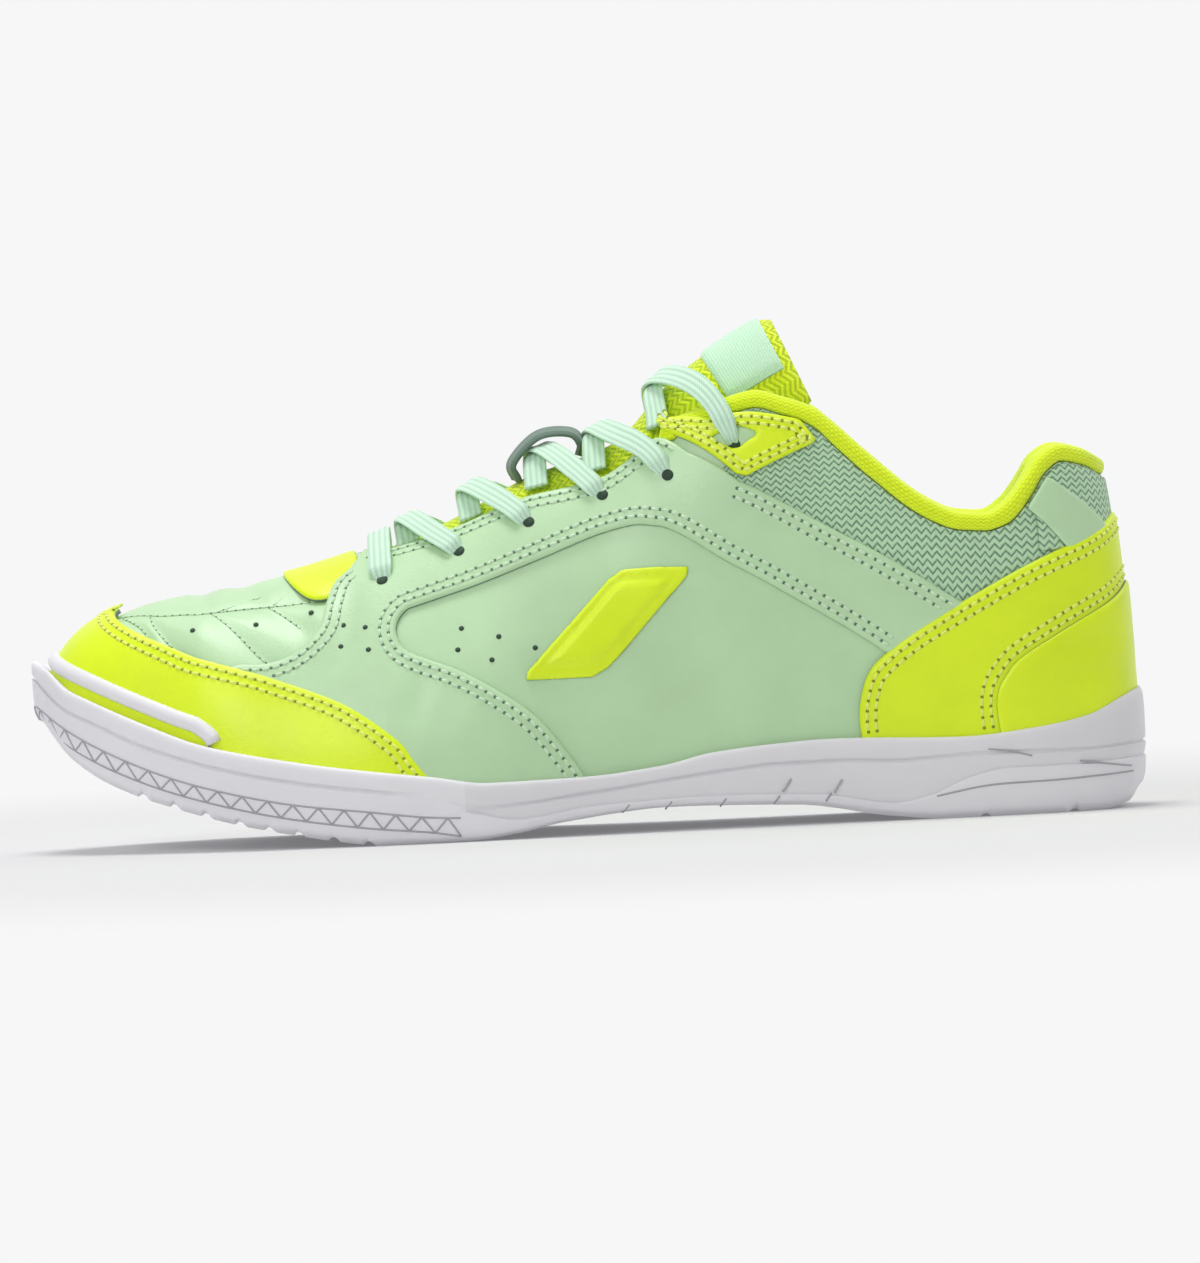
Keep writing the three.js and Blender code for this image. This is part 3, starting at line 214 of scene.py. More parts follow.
# Smooth curve through a table's columns, without overshoot.
def follow(rows, column, key=None):
    where = rows["along"] if key is None else key(rows["along"])
    order = np.argsort(where)
    at, value = where[order], rows[column][order]
    slope = np.diff(value) / np.diff(at)
    tangent = np.empty_like(value)
    tangent[0], tangent[-1] = slope[0], slope[-1]
    product = slope[:-1] * slope[1:]
    total = slope[:-1] + slope[1:]
    tangent[1:-1] = np.where(product > 0, 2 * product / np.where(total == 0, 1, total), 0)

    def curve(place):
        place = np.clip(place, at[0], at[-1])
        i = np.clip(np.searchsorted(at, place, side="left") - 1, 0, len(slope) - 1)
        span = at[i + 1] - at[i]
        t = (place - at[i]) / span
        t2, t3 = t * t, t * t * t
        return ((2 * t3 - 3 * t2 + 1) * value[i] + (t3 - 2 * t2 + t) * span * tangent[i]
                + (3 * t2 - 2 * t3) * value[i + 1] + (t3 - t2) * span * tangent[i + 1])
    return curve


def ease(low, high, value):
    share = np.clip((np.asarray(value, float) - low) / (high - low), 0, 1)
    return share * share * (3 - 2 * share)


def mix(a, b, share):
    return a + (b - a) * share


def unit(vectors):
    return vectors / np.maximum(np.linalg.norm(vectors, axis=-1, keepdims=True), 1e-9)


def x_of(along):
    return (0.5 - np.asarray(along, float)) * LENGTH


def along_of(x):
    return 0.5 - np.asarray(x, float) / LENGTH


def turn_of(along):
    return np.arccos(1 - 2 * np.clip(along, 0, 1)) / math.pi


def around_at(along, side_name):
    turn = turn_of(along)
    return turn if side_name == "lateral" else 2 - turn


def along_turn(turn):
    return (1 - np.cos(math.pi * turn)) / 2


half_share = follow(PLAN, "half", turn_of)
middle_share = follow(PLAN, "middle", turn_of)
bottom_share = follow(BOTTOM, "up")
rand_share = follow(RAND, "up")
footbed_share = follow(FOOTBED, "up")
groove_share = follow(GROOVE, "up")
groove_depth = follow(GROOVE, "depth")
parting_share = follow(PARTING, "up")
ridge_share = follow(RIDGE, "up")
rise_share = follow(RIDGE, "rise")
reach_share = follow(RIDGE, "reach")
throat_share = follow(THROAT, "half")
collar_share = follow(COLLAR, "up")
pad_depth = follow(COLLAR, "pad")
skirt_depth = follow(COLLAR, "skirt")
tongue_up = follow(TONGUE, "up")
tongue_lean = follow(TONGUE, "lean")
tongue_half = follow(TONGUE, "half")
tongue_fall = follow(TONGUE, "fall")


def rand_z(x):
    return rand_share(along_of(x)) * SOLE_HEIGHT


def footbed_z(x):
    return footbed_share(along_of(x)) * SOLE_HEIGHT


def groove_z(x):
    return groove_share(along_of(x)) * SOLE_HEIGHT


def bottom_z(x):
    return np.maximum(0, bottom_share(along_of(x)) * SOLE_HEIGHT)


def ridge_z(x):
    return ridge_share(along_of(x)) * INSTEP_HEIGHT


def throat_half(x):
    along = along_of(x)
    is_open = (along < THROAT_FRONT) & (along > THROAT_END)
    return np.where(is_open, throat_share(along) * BALL_WIDTH, -1)


def collar_z(x):
    along = along_of(x)
    return np.where(along < COLLAR_START, collar_share(along) * INSTEP_HEIGHT, 1e6)


TURNS = np.linspace(0, 1, 201)
SIDE_SHIFT = -((middle_share(TURNS) - half_share(TURNS)).min()
               + (middle_share(TURNS) + half_share(TURNS)).max()) * BALL_WIDTH / 2


# Plan outline. around goes from the heel (0) along the outer side to the toe (1) and back (2).
def turn_at(around):
    place = np.mod(around, 2)
    return np.where(place <= 1, place, 2 - place)


def plan(around):
    turn = turn_at(around)
    side = np.where(np.mod(around, 2) <= 1, -1, 1)
    y = SIDE_SHIFT + (middle_share(turn) + side * half_share(turn)) * BALL_WIDTH
    return np.stack([x_of(along_turn(turn)), y], -1)


def outward(around):
    nudge = 0.004
    tangent = unit(plan(around + nudge) - plan(around - nudge))
    return np.stack([-tangent[..., 1], tangent[..., 0]], -1)


def inset(around, depth):
    return plan(around) - outward(around) * np.asarray(depth)[..., None]


def ridge_y(x):
    return SIDE_SHIFT + middle_share(turn_of(along_of(x))) * BALL_WIDTH


# The last: ribs from the feather edge to the ridge, as cubic curves. girth goes from 0 to 1.
def rib(around):
    foot_xy = inset(around, UPPER_INSET)
    along = along_turn(turn_at(around))
    ridge_x = np.clip(x_of(along), x_of(TOE_POLE), x_of(HEEL_POLE))
    foot = np.concatenate([foot_xy, (footbed_z(foot_xy[..., 0]) + FIT_GAP)[..., None]], -1)
    ridge = np.stack([ridge_x, ridge_y(ridge_x), ridge_z(ridge_x)], -1)
    slope = (ridge_z(ridge_x + 1) - ridge_z(ridge_x - 1)) / 2
    away = foot_xy - ridge[..., :2]
    width = np.linalg.norm(away, axis=-1)
    away = unit(away)
    rise = rise_share(along_of(ridge_x)) * (ridge[..., 2] - foot[..., 2])
    reach = reach_share(along_of(ridge_x)) * width
    lower = foot.copy()
    lower[..., 2] += rise
    flat = np.stack([away[..., 0], away[..., 1], slope * away[..., 0]], -1)
    return foot, lower, ridge + flat * reach[..., None], ridge, slope


def on_rib(around, girth):
    a, b, c, d, _ = rib(around)
    t = girth[..., None]
    return (1 - t) ** 3 * a + 3 * t * (1 - t) ** 2 * b + 3 * t * t * (1 - t) * c + t ** 3 * d


def normal_at(around, girth):
    nudge = 0.003
    up = on_rib(around, np.minimum(1, girth + nudge)) - on_rib(around, np.maximum(0, girth - nudge))
    ahead = on_rib(around + nudge, girth) - on_rib(around - nudge, girth)
    slope = rib(around)[4]
    crest = unit(np.stack([-slope, np.zeros_like(slope), np.ones_like(slope)], -1))
    return np.where((girth > 0.995)[..., None], crest, unit(np.cross(up, ahead)))


def last(around, girth, out=0.0):
    around, girth, out = spread(around, girth, out)
    base = on_rib(around, girth)
    return base + normal_at(around, girth) * out[..., None] if np.any(out) else base


# Depth of the creases and of the quilted vamp, added to what every panel stands out by.
def segment_distance(points, a, b):
    line = b - a
    share = np.clip(((points - a) @ line) / (line @ line), 0, 1)
    return np.linalg.norm(points - (a + share[..., None] * line), axis=-1), share


def side_mm(place):
    return np.array([x_of(place[0]), place[1] * INSTEP_HEIGHT])


def relief(points, quilt=False):
    flat = points[..., [0, 2]]
    depth = np.zeros(points.shape[:-1])
    for start, end, amount, half in CREASES:
        distance, share = segment_distance(flat, side_mm(start), side_mm(end))
        fading = np.sin(math.pi * np.clip(share, 0.04, 0.96))
        depth += amount * np.exp(-(distance / half) ** 2) * fading
    if not quilt:
        return depth
    nearest = np.full(points.shape[:-1], 1e6)
    for line in QUILT_LINES:
        for start, end in zip(line, line[1:]):
            nearest = np.minimum(nearest, segment_distance(flat, side_mm(start), side_mm(end))[0])
    return depth - QUILT_DEPTH * np.exp(-(nearest / QUILT_HALF_WIDTH) ** 1.2)


def skin(around, girth, out=0.0, quilt=False):
    around, girth, out = spread(around, girth, out)
    base = on_rib(around, girth)
    return base + normal_at(around, girth) * (out + relief(base, quilt))[..., None]


# Girth at which each rib first passes a test, by steps and then by halving.
def girth_where(around, passed, steps=120):
    knots = rib(np.asarray(around, float))[:4]
    levels = np.linspace(0, 1, steps + 1)
    hit = passed(on_knots(knots, np.broadcast_to(levels, (len(knots[0]), steps + 1))))
    first = np.where(hit.any(1), hit.argmax(1), steps)
    high = levels[first]
    low = np.maximum(0, high - 1 / steps)
    for _ in range(14):
        middle = (low + high) / 2
        ok = passed(on_knots(knots, middle[:, None]))[:, 0]
        high = np.where(ok, middle, high)
        low = np.where(ok, low, middle)
    return np.where(hit.any(1), high, 1.0)


def on_knots(knots, girth):
    a, b, c, d = (knot[:, None, :] for knot in knots)
    t = girth[..., None]
    return (1 - t) ** 3 * a + 3 * t * (1 - t) ** 2 * b + 3 * t * t * (1 - t) * c + t ** 3 * d


def in_throat(points):
    return np.abs(points[..., 1] - ridge_y(points[..., 0])) < throat_half(points[..., 0])


def above_collar(points):
    return points[..., 2] > collar_z(points[..., 0])


def top_girth(around):
    return girth_where(around, lambda p: in_throat(p) | above_collar(p))


def girth_at_height(around, height):
    return girth_where(around, lambda p: p[..., 2] > np.asarray(height)[:, None])


def is_closed(around):
    return turn_at(around) >= turn_of(THROAT_FRONT) - 1e-4


def wall_edge(around):
    top = top_girth(around)
    crest = last(around, top)
    nudge = 0.01
    before = last(around - nudge, top_girth(around - nudge))
    after = last(around + nudge, top_girth(around + nudge))
    run = np.linalg.norm((after - before)[:, :2], axis=-1)
    steep = np.clip(np.hypot(1, (after - before)[:, 2] / np.maximum(run, 1e-6)), 1, 1.6)
    along = along_of(crest[:, 0])
    drop = (ROLL_DEPTH + FIT_GAP) * steep * ease(ROLL_START, ROLL_START - 0.02, along)
    height = crest[:, 2] - drop
    lowered = girth_where(around, lambda p: (p[..., 2] > height[:, None]) | in_throat(p))
    edge = np.where(along > ROLL_START, top, lowered)
    return np.where(is_closed(around), 1.0, edge)


# A flat map of the last: distance round the shoe and distance up the rib, in millimetres.
MAP_AROUND = np.linspace(-1, 3, 2401)
MAP_S = run_along(last(MAP_AROUND, 0.4))
MAP_S -= np.interp(0, MAP_AROUND, MAP_S)
MAP_RIBS = last(MAP_AROUND[:, None], np.linspace(0, 1, 33)[None, :])
MAP_LENGTH = np.linalg.norm(np.diff(MAP_RIBS, axis=1), axis=2).sum(1)
PERIMETER = np.interp(2, MAP_AROUND, MAP_S) - np.interp(0, MAP_AROUND, MAP_S)


def flat_of(around, girth):
    return np.stack([np.interp(around, MAP_AROUND, MAP_S),
                     girth * np.interp(around, MAP_AROUND, MAP_LENGTH)], -1)


def skin_of(flat):
    around = np.interp(flat[..., 0], MAP_S, MAP_AROUND)
    return around, np.clip(flat[..., 1] / np.interp(around, MAP_AROUND, MAP_LENGTH), 0, 1)


# Finds the places on the last that show at given side-view points.
SEARCH_AROUND = np.linspace(0.005, 0.995, 330)
SEARCH_GIRTH = np.linspace(0, 1, 90)
SEARCH = {}
for side_name, sign in (("lateral", 1), ("medial", -1)):
    around_grid, girth_grid = np.meshgrid(
        SEARCH_AROUND if sign > 0 else 2 - SEARCH_AROUND, SEARCH_GIRTH, indexing="ij")
    SEARCH[side_name] = (around_grid.ravel(), girth_grid.ravel(),
                         last(around_grid.ravel(), girth_grid.ravel()))


def seen_from_side(around, girth):
    return last(around, girth)[:, [0, 2]]


def locate(targets, side_name):
    targets = np.asarray(targets, float)
    arounds, girths, places = SEARCH[side_name]
    away = ((places[None, :, 0] - targets[:, None, 0]) ** 2
            + (places[None, :, 2] - targets[:, None, 1]) ** 2)
    best = away.argmin(1)
    around, girth = arounds[best].copy(), girths[best].copy()
    nudge = 1e-4
    for _ in range(8):
        here = seen_from_side(around, girth)
        d_around = (seen_from_side(around + nudge, girth) - here) / nudge
        side_step = np.where(girth < 0.5, nudge, -nudge)
        d_girth = (seen_from_side(around, girth + side_step) - here) / side_step[:, None]
        gap = targets - here
        det = d_around[:, 0] * d_girth[:, 1] - d_around[:, 1] * d_girth[:, 0]
        safe = np.where(np.abs(det) < 1e-3, 1e9, det)
        step_a = (gap[:, 0] * d_girth[:, 1] - gap[:, 1] * d_girth[:, 0]) / safe
        step_g = (d_around[:, 0] * gap[:, 1] - d_around[:, 1] * gap[:, 0]) / safe
        around += np.clip(step_a, -0.02, 0.02)
        girth = np.clip(girth + np.clip(step_g, -0.05, 0.05), 0, 1)
    return around, girth


def shares_to_flat(rows, side_name):
    points = np.array([side_mm(row) for row in rows])
    return flat_of(*locate(points, side_name))


def spline(p0, p1, p2, p3, t):
    return 0.5 * (2 * p1 + (p2 - p0) * t + (2 * p0 - 5 * p1 + 4 * p2 - p3) * t ** 2
                  + (3 * p1 - p0 - 3 * p2 + p3) * t ** 3)


# Curve through points, resampled to an even step.
def curve_through(points, step=0.8, closed=False):
    points = np.asarray(points, float)
    if closed:
        padded = np.vstack([points[-1:], points, points[:2]])
    else:
        padded = np.vstack([2 * points[0] - points[1], points, 2 * points[-1] - points[-2]])
    pieces = []
    for p0, p1, p2, p3 in zip(padded, padded[1:], padded[2:], padded[3:]):
        count = max(2, int(np.linalg.norm(p2 - p1) / (step * 0.5)))
        t = np.linspace(0, 1, count, endpoint=False)[:, None]
        pieces.append(spline(p0, p1, p2, p3, t))
    dense = np.vstack(pieces + ([points[:1]] if closed else [points[-1:]]))
    return evenly(dense, step, closed)


def evenly(dense, step, closed=False, measured=None):
    length = run_along(dense[:, :measured])
    count = max(3, int(round(length[-1] / step)))
    at = np.linspace(0, length[-1], count + 1)
    if closed:
        at = at[:-1]
    return np.stack([np.interp(at, length, dense[:, i]) for i in range(dense.shape[1])], -1)


# Joins curves into one closed outline with an even step.
def closed_outline(*curves):
    return evenly(np.vstack([*curves, curves[0][:1]]), 0.9, True)


# Moves a curve on the last sideways by a true distance; positive is to the left of its run.
def shift_curve(flat, distance):
    around, girth = skin_of(flat)
    ahead = np.gradient(last(around, girth), axis=0)
    side = unit(np.cross(normal_at(around, girth), ahead)) * distance
    nudge = 1e-3
    d_around = (last(around + nudge, girth) - last(around - nudge, girth)) / (2 * nudge)
    low, high = np.maximum(0, girth - nudge), np.minimum(1, girth + nudge)
    d_girth = (last(around, high) - last(around, low)) / (high - low)[:, None]
    aa, gg = (d_around ** 2).sum(1), (d_girth ** 2).sum(1)
    ag = (d_around * d_girth).sum(1)
    sa, sg = (side * d_around).sum(1), (side * d_girth).sum(1)
    det = np.maximum(aa * gg - ag ** 2, 1e-6)
    return flat_of(around + (sa * gg - sg * ag) / det, np.clip(girth + (sg * aa - sa * ag) / det, 0, 1))


# Mesh helpers
def mesh_object(name, points, faces, uv=None):
    mesh = bpy.data.meshes.new(name)
    mesh.from_pydata((np.asarray(points) * MM).tolist(), [], [list(map(int, face)) for face in faces])
    mesh.polygons.foreach_set("use_smooth", [True] * len(mesh.polygons))
    if uv is not None:
        index = np.empty(len(mesh.loops), np.int32)
        mesh.loops.foreach_get("vertex_index", index)
        layer = mesh.uv_layers.new(name="flat")
        layer.data.foreach_set("uv", (np.asarray(uv)[index] * MM).astype(np.float32).ravel())
    mesh.update()
    piece = bpy.data.objects.new(name, mesh)
    bpy.context.scene.collection.objects.link(piece)
    return piece


def grid_faces(rows, columns, closed_rows=False, closed_columns=False, start=0, flip=False):
    i = np.arange(rows if closed_rows else rows - 1)
    j = np.arange(columns if closed_columns else columns - 1)
    i, j = np.meshgrid(i, j, indexing="ij")
    k, m = (i + 1) % rows, (j + 1) % columns
    faces = np.stack([i * columns + j, k * columns + j, k * columns + m, i * columns + m], -1)
    faces = faces.reshape(-1, 4) + start
    return faces[:, ::-1] if flip else faces


def capped_tube(rows, count):
    """Faces of a tube of rings, closed at both ends."""
    faces = grid_faces(rows, count, closed_columns=True).tolist()
    return faces + [list(range(count)), [(rows - 1) * count + i for i in range(count)][::-1]]


def dress(piece, material, slot, *nodes):
    piece.data.materials.append(material)
    if nodes:
        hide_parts(*nodes)
    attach(piece, "root")
    return piece


def joined(name, parts):
    points, faces, uvs, start = [], [], [], 0
    for part_points, part_faces, part_uv in parts:
        points.append(part_points)
        uvs.append(part_uv)
        faces.extend((np.asarray(face) + start).tolist() for face in part_faces)
        start += len(part_points)
    return mesh_object(name, np.vstack(points), faces, np.vstack(uvs))


# Even-odd test of points against a closed loop.
def inside(points, loop):
    x, y = points[:, 0], points[:, 1]
    result = np.zeros(len(points), bool)
    nxt = np.roll(loop, -1, 0)
    for (x0, y0), (x1, y1) in zip(loop, nxt):
        crosses = (y0 > y) != (y1 > y)
        if not crosses.any():
            continue
        where = (x1 - x0) * (y - y0) / (y1 - y0 if y1 != y0 else 1e-9) + x0
        result ^= crosses & (x < where)
    return result


def loop_turn(loop):
    nxt = np.roll(loop, -1, 0)
    return np.sign((loop[:, 0] * nxt[:, 1] - nxt[:, 0] * loop[:, 1]).sum())


def clear_of(points, others, room):
    """Which points lie farther than room from all the others, worked out in batches."""
    away = [np.empty(0)]
    for start in range(0, len(points), 2000):
        part = points[start:start + 2000]
        away.append(((part[:, None, :] - others[None, :, :]) ** 2).sum(2).min(1))
    return np.concatenate(away) > room * room


# A sheet with a rounded rim, cut to a loop on the flat map and laid on the last.
def panel_mesh(outline, height, base=0.0, rim=0.9, spacing=1.5, holes=(), place=None, crown=None):
    place = place or (lambda flat, out: skin(*skin_of(flat), out))
    loops = [outline if loop_turn(outline) > 0 else outline[::-1]]
    loops += [hole if loop_turn(hole) < 0 else hole[::-1] for hole in holes]
    rings, rises = [], []
    for loop in loops:
        ahead = unit(np.roll(loop, -1, 0) - np.roll(loop, 1, 0))
        inward = np.stack([-ahead[:, 1], ahead[:, 0]], -1)
        for share, rise in ((0.3, 0.84), (1.0, 1.0)):
            ring = loop + inward * rim * share
            ring = ring[clear_of(ring, loop, rim * share * 0.9)]
            rings.append(ring)
            rises.append(np.full(len(ring), rise * height))
    low, high = outline.min(0), outline.max(0)
    columns = np.arange(low[0], high[0], spacing)
    rows = np.arange(low[1], high[1], spacing * 0.87)
    gx, gy = np.meshgrid(columns, rows)
    gx[1::2] += spacing / 2
    inner = np.stack([gx.ravel(), gy.ravel()], -1)
    inner = inner[inside(inner, loops[0])]
    for hole in loops[1:]:
        inner = inner[~inside(inner, hole)]
    inner = inner[clear_of(inner, np.vstack(loops), rim + spacing * 0.55)]
    edge_count = sum(len(loop) for loop in loops)
    points = np.vstack(loops + rings + [inner])
    out = np.concatenate([np.full(edge_count, 0.42 * height)] + rises + [np.full(len(inner), height)])
    edges, start = [], 0
    for loop in loops:
        count = len(loop)
        edges += [(start + i, start + (i + 1) % count) for i in range(count)]
        start += count
    found = delaunay_2d_cdt([Vector(p) for p in points], edges, [], 0, 1e-5)
    origin = np.array([source[0] if source else -1 for source in found[3]])
    flat = np.array([tuple(p) for p in found[0]])
    triangles = np.array(found[2])
    centres = flat[triangles].mean(1)
    keep = inside(centres, loops[0])
    for hole in loops[1:]:
        keep &= ~inside(centres, hole)
    triangles = triangles[keep]
    rise = np.where(origin >= 0, out[np.maximum(origin, 0)], height)
    if crown is not None:
        rise = rise + crown(flat) * (rise / height)
    top = place(flat, base + rise)
    a, b, c = (flat[triangles[:, i]] for i in range(3))
    area = (b[:, 0] - a[:, 0]) * (c[:, 1] - a[:, 1]) - (b[:, 1] - a[:, 1]) * (c[:, 0] - a[:, 0])
    triangles = np.where(area[:, None] < 0, triangles[:, ::-1], triangles)
    under = place(flat, np.full(len(flat), base - 0.35))
    sides, count = edge_quads(triangles, len(flat)), len(flat)
    return (np.vstack([top, under]), list(triangles) + list(triangles[:, ::-1] + count) + sides,
            np.vstack([flat, flat]))


def edge_quads(triangles, count):
    edges = np.vstack([triangles[:, [0, 1]], triangles[:, [1, 2]], triangles[:, [2, 0]]])
    known = {(int(a), int(b)) for a, b in edges}
    return [(b, a, a + count, b + count) for a, b in known if (b, a) not in known]


def outward_faces(points, faces):
    """Flips all faces if the closed form they make is inside out."""
    points = np.asarray(points) - np.mean(points, axis=0)
    by_size, total = {}, 0.0
    for face in faces:
        by_size.setdefault(len(face), []).append(face)
    for size, group in by_size.items():
        corners = points[np.array(group)]
        for k in range(1, size - 1):
            total += (corners[:, 0] * np.cross(corners[:, k], corners[:, k + 1])).sum()
    return faces if total > 0 else [list(face)[::-1] for face in faces]


def add_panel(name, outline, height, material, slot, nodes=(), **options):
    points, faces, uv = panel_mesh(outline, height, **options)
    piece = mesh_object(name, points, outward_faces(points, faces), uv)
    dress(piece, material, slot, *nodes)
    # The rim's side faces take the darker edge material: the cut edge plus painted shade of the step.
    piece.data.materials.append(cut_edge_and_step_shade)
    sides = np.array([len(face) == 4 for face in faces])
    piece.data.polygons.foreach_set("material_index", sides.astype(np.int32))
    return piece


# Tube or tape swept along points, with a section given as (across, up) pairs.
def sweep(path, normals, section, scale=None):
    path, normals = np.asarray(path), np.asarray(normals)
    ahead = unit(np.gradient(path, axis=0))
    across = unit(np.cross(normals, ahead))
    up = unit(np.cross(ahead, across))
    section = np.asarray(section)
    scale = np.ones((len(path), 2)) if scale is None else np.asarray(scale)
    points = (path[:, None, :] + across[:, None, :] * (section[None, :, :1] * scale[:, None, :1])
              + up[:, None, :] * (section[None, :, 1:] * scale[:, None, 1:]))
    uv = np.stack(spread(run_along(path)[:, None], section[None, :, 0]), -1).reshape(-1, 2)
    points = points.reshape(-1, 3)
    return points, outward_faces(points, capped_tube(len(path), len(section))), uv


def round_section(width, height, count=10):
    angle = np.linspace(0, 2 * math.pi, count, endpoint=False)
    return np.stack([np.cos(angle) * width / 2, np.sin(angle) * height / 2], -1)


def tape_section(width, thickness, count=20):
    angle = np.linspace(0, 2 * math.pi, count, endpoint=False)
    across = np.sign(np.cos(angle)) * np.abs(np.cos(angle)) ** 0.6 * width / 2
    up = np.sign(np.sin(angle)) * np.abs(np.sin(angle)) ** 0.75 * thickness / 2
    return np.stack([across, up * (0.82 + 0.18 * np.cos(angle * 6))], -1)


# Material helpers
def node(tree, kind, inputs=None, **settings):
    made = tree.nodes.new(kind)
    for key, value in settings.items():
        setattr(made, key, value)
    for key, value in (inputs or {}).items():
        if isinstance(value, bpy.types.NodeSocket):
            tree.links.new(value, made.inputs[key])
        else:
            made.inputs[key].default_value = value
    return made


def math_node(tree, operation, *values):
    return node(tree, "ShaderNodeMath", dict(enumerate(values)), operation=operation).outputs[0]


def sine(tree, value, pitch):
    return math_node(tree, "SINE", math_node(tree, "MULTIPLY", value, 2 * math.pi / pitch))


def material_base(name, roughness, **constants):
    made = bpy.data.materials.new(name)
    made.use_nodes = True
    shader = made.node_tree.nodes["Principled BSDF"]
    shader.inputs["Roughness"].default_value = roughness
    for key, value in constants.items():
        shader.inputs[key.replace("_", " ")].default_value = value
    return made, made.node_tree, shader


def object_place(tree):
    return node(tree, "ShaderNodeTexCoord").outputs["Object"]


def noise(tree, place, scale, detail=2.0, roughness=0.5):
    return node(tree, "ShaderNodeTexNoise", {"Vector": place, "Scale": scale, "Detail": detail,
                                             "Roughness": roughness}).outputs["Fac"]


def paint(tree, shader, fac, *stops):
    made = node(tree, "ShaderNodeValToRGB", {"Fac": fac})
    elements = made.color_ramp.elements
    while len(elements) < len(stops):
        elements.new(0.5)
    for element, (at, color) in zip(elements, stops):
        element.position = at
        element.color = (*color, 1)
    tree.links.new(made.outputs["Color"], shader.inputs["Base Color"])


def bump(tree, shader, height, strength, distance, below=None):
    inputs = {"Height": height, "Strength": strength, "Distance": distance}
    if below is not None:
        inputs["Normal"] = below
    made = node(tree, "ShaderNodeBump", inputs)
    tree.links.new(made.outputs["Normal"], shader.inputs["Normal"])
    return made.outputs["Normal"]


def scaled(color, factor):
    return tuple(min(1.0, part * factor) for part in color)


def leather(name, color, grain=0.35, roughness=0.42):
    made, tree, shader = material_base(name, roughness, Coat_Weight=0.12, Coat_Roughness=0.35)
    place = object_place(tree)
    tone = noise(tree, place, 45, 4.0)
    paint(tree, shader, tone, (0.3, scaled(color, 0.94)), (0.55, color), (0.75, scaled(color, 1.04)))
    cells = node(tree, "ShaderNodeTexVoronoi", {"Vector": place, "Scale": 1500.0}).outputs["Distance"]
    fine = noise(tree, place, 900, 3.0)
    height = math_node(tree, "ADD", math_node(tree, "MULTIPLY", cells, 0.8), fine)
    soft = bump(tree, shader, noise(tree, place, 60, 3.0), 0.35, 0.0009)
    bump(tree, shader, height, grain, 0.00012, soft)
    rough = node(tree, "ShaderNodeMapRange", {"Value": tone, "To Min": roughness - 0.05,
                                              "To Max": roughness + 0.07}).outputs[0]
    tree.links.new(rough, shader.inputs["Roughness"])
    return made


def flat_place(tree):
    uv = node(tree, "ShaderNodeUVMap", uv_map="flat").outputs["UV"]
    parts = node(tree, "ShaderNodeSeparateXYZ", {"Vector": uv})
    return (math_node(tree, "MULTIPLY", parts.outputs["X"], 1000.0),
            math_node(tree, "MULTIPLY", parts.outputs["Y"], 1000.0))


# Rows of zigzag yarn; the low gaps between rows are painted darker as painted shade and the crests a little
# lighter as painted highlight, both from the bump height; sizes in millimetres.
def zigzag_knit(name, yarn, gap_shade, wave=2.6, row=1.45, swing=0.75, cover=0.3, depth=0.0004):
    made, tree, shader = material_base(name, 0.85, Sheen_Weight=0.25, Sheen_Roughness=0.5)
    s, t = flat_place(tree)
    saw = math_node(tree, "PINGPONG", math_node(tree, "DIVIDE", s, wave / 2), 1.0)
    up = math_node(tree, "ADD", math_node(tree, "DIVIDE", t, row), math_node(tree, "MULTIPLY", saw, swing))
    line = sine(tree, up, 1)
    grain = noise(tree, object_place(tree), 1400, 2.0)
    height = math_node(tree, "ADD", line, math_node(tree, "MULTIPLY", grain, 0.8))
    level = math_node(tree, "ADD", math_node(tree, "MULTIPLY", height, 0.36), 0.36)
    # Painted shade in the low gaps, painted highlight on the yarn crests.
    paint(tree, shader, level, (cover - 0.16, gap_shade), (cover + 0.12, yarn), (0.95, scaled(yarn, 1.08)))
    bump(tree, shader, level, 0.9, depth)
    return made


def rubber(name, color):
    made, tree, shader = material_base(name, 0.5, Coat_Weight=0.05, Coat_Roughness=0.5)
    place = object_place(tree)
    tone = noise(tree, place, 30, 5.0, 0.6)
    paint(tree, shader, tone, (0.3, scaled(color, 0.955)), (0.6, color))
    bump(tree, shader, noise(tree, place, 1600, 2.0), 0.2, 0.00008)
    return made


def thread(name, color):
    made, tree, shader = material_base(name, 0.7, Sheen_Weight=0.2)
    tone = noise(tree, object_place(tree), 2500, 1.0)
    paint(tree, shader, tone, (0.3, scaled(color, 0.8)), (0.7, color))
    bump(tree, shader, tone, 0.4, 0.0001)
    return made


def lace_weave(name, color):
    made, tree, shader = material_base(name, 0.8, Sheen_Weight=0.3)
    s, t = flat_place(tree)
    ribs = sine(tree, t, 1.6)
    picks = sine(tree, math_node(tree, "ADD", s, t), 0.8)
    height = math_node(tree, "ADD", ribs, math_node(tree, "MULTIPLY", picks, 0.35))
    level = math_node(tree, "ADD", math_node(tree, "MULTIPLY", height, 0.37), 0.5)
    # Colour follows the rib height: painted shade in the troughs, painted highlight on the crests.
    paint(tree, shader, level, (0.1, scaled(color, 0.8)), (0.5, color), (0.9, scaled(color, 1.06)))
    bump(tree, shader, level, 0.8, 0.0003)
    return made


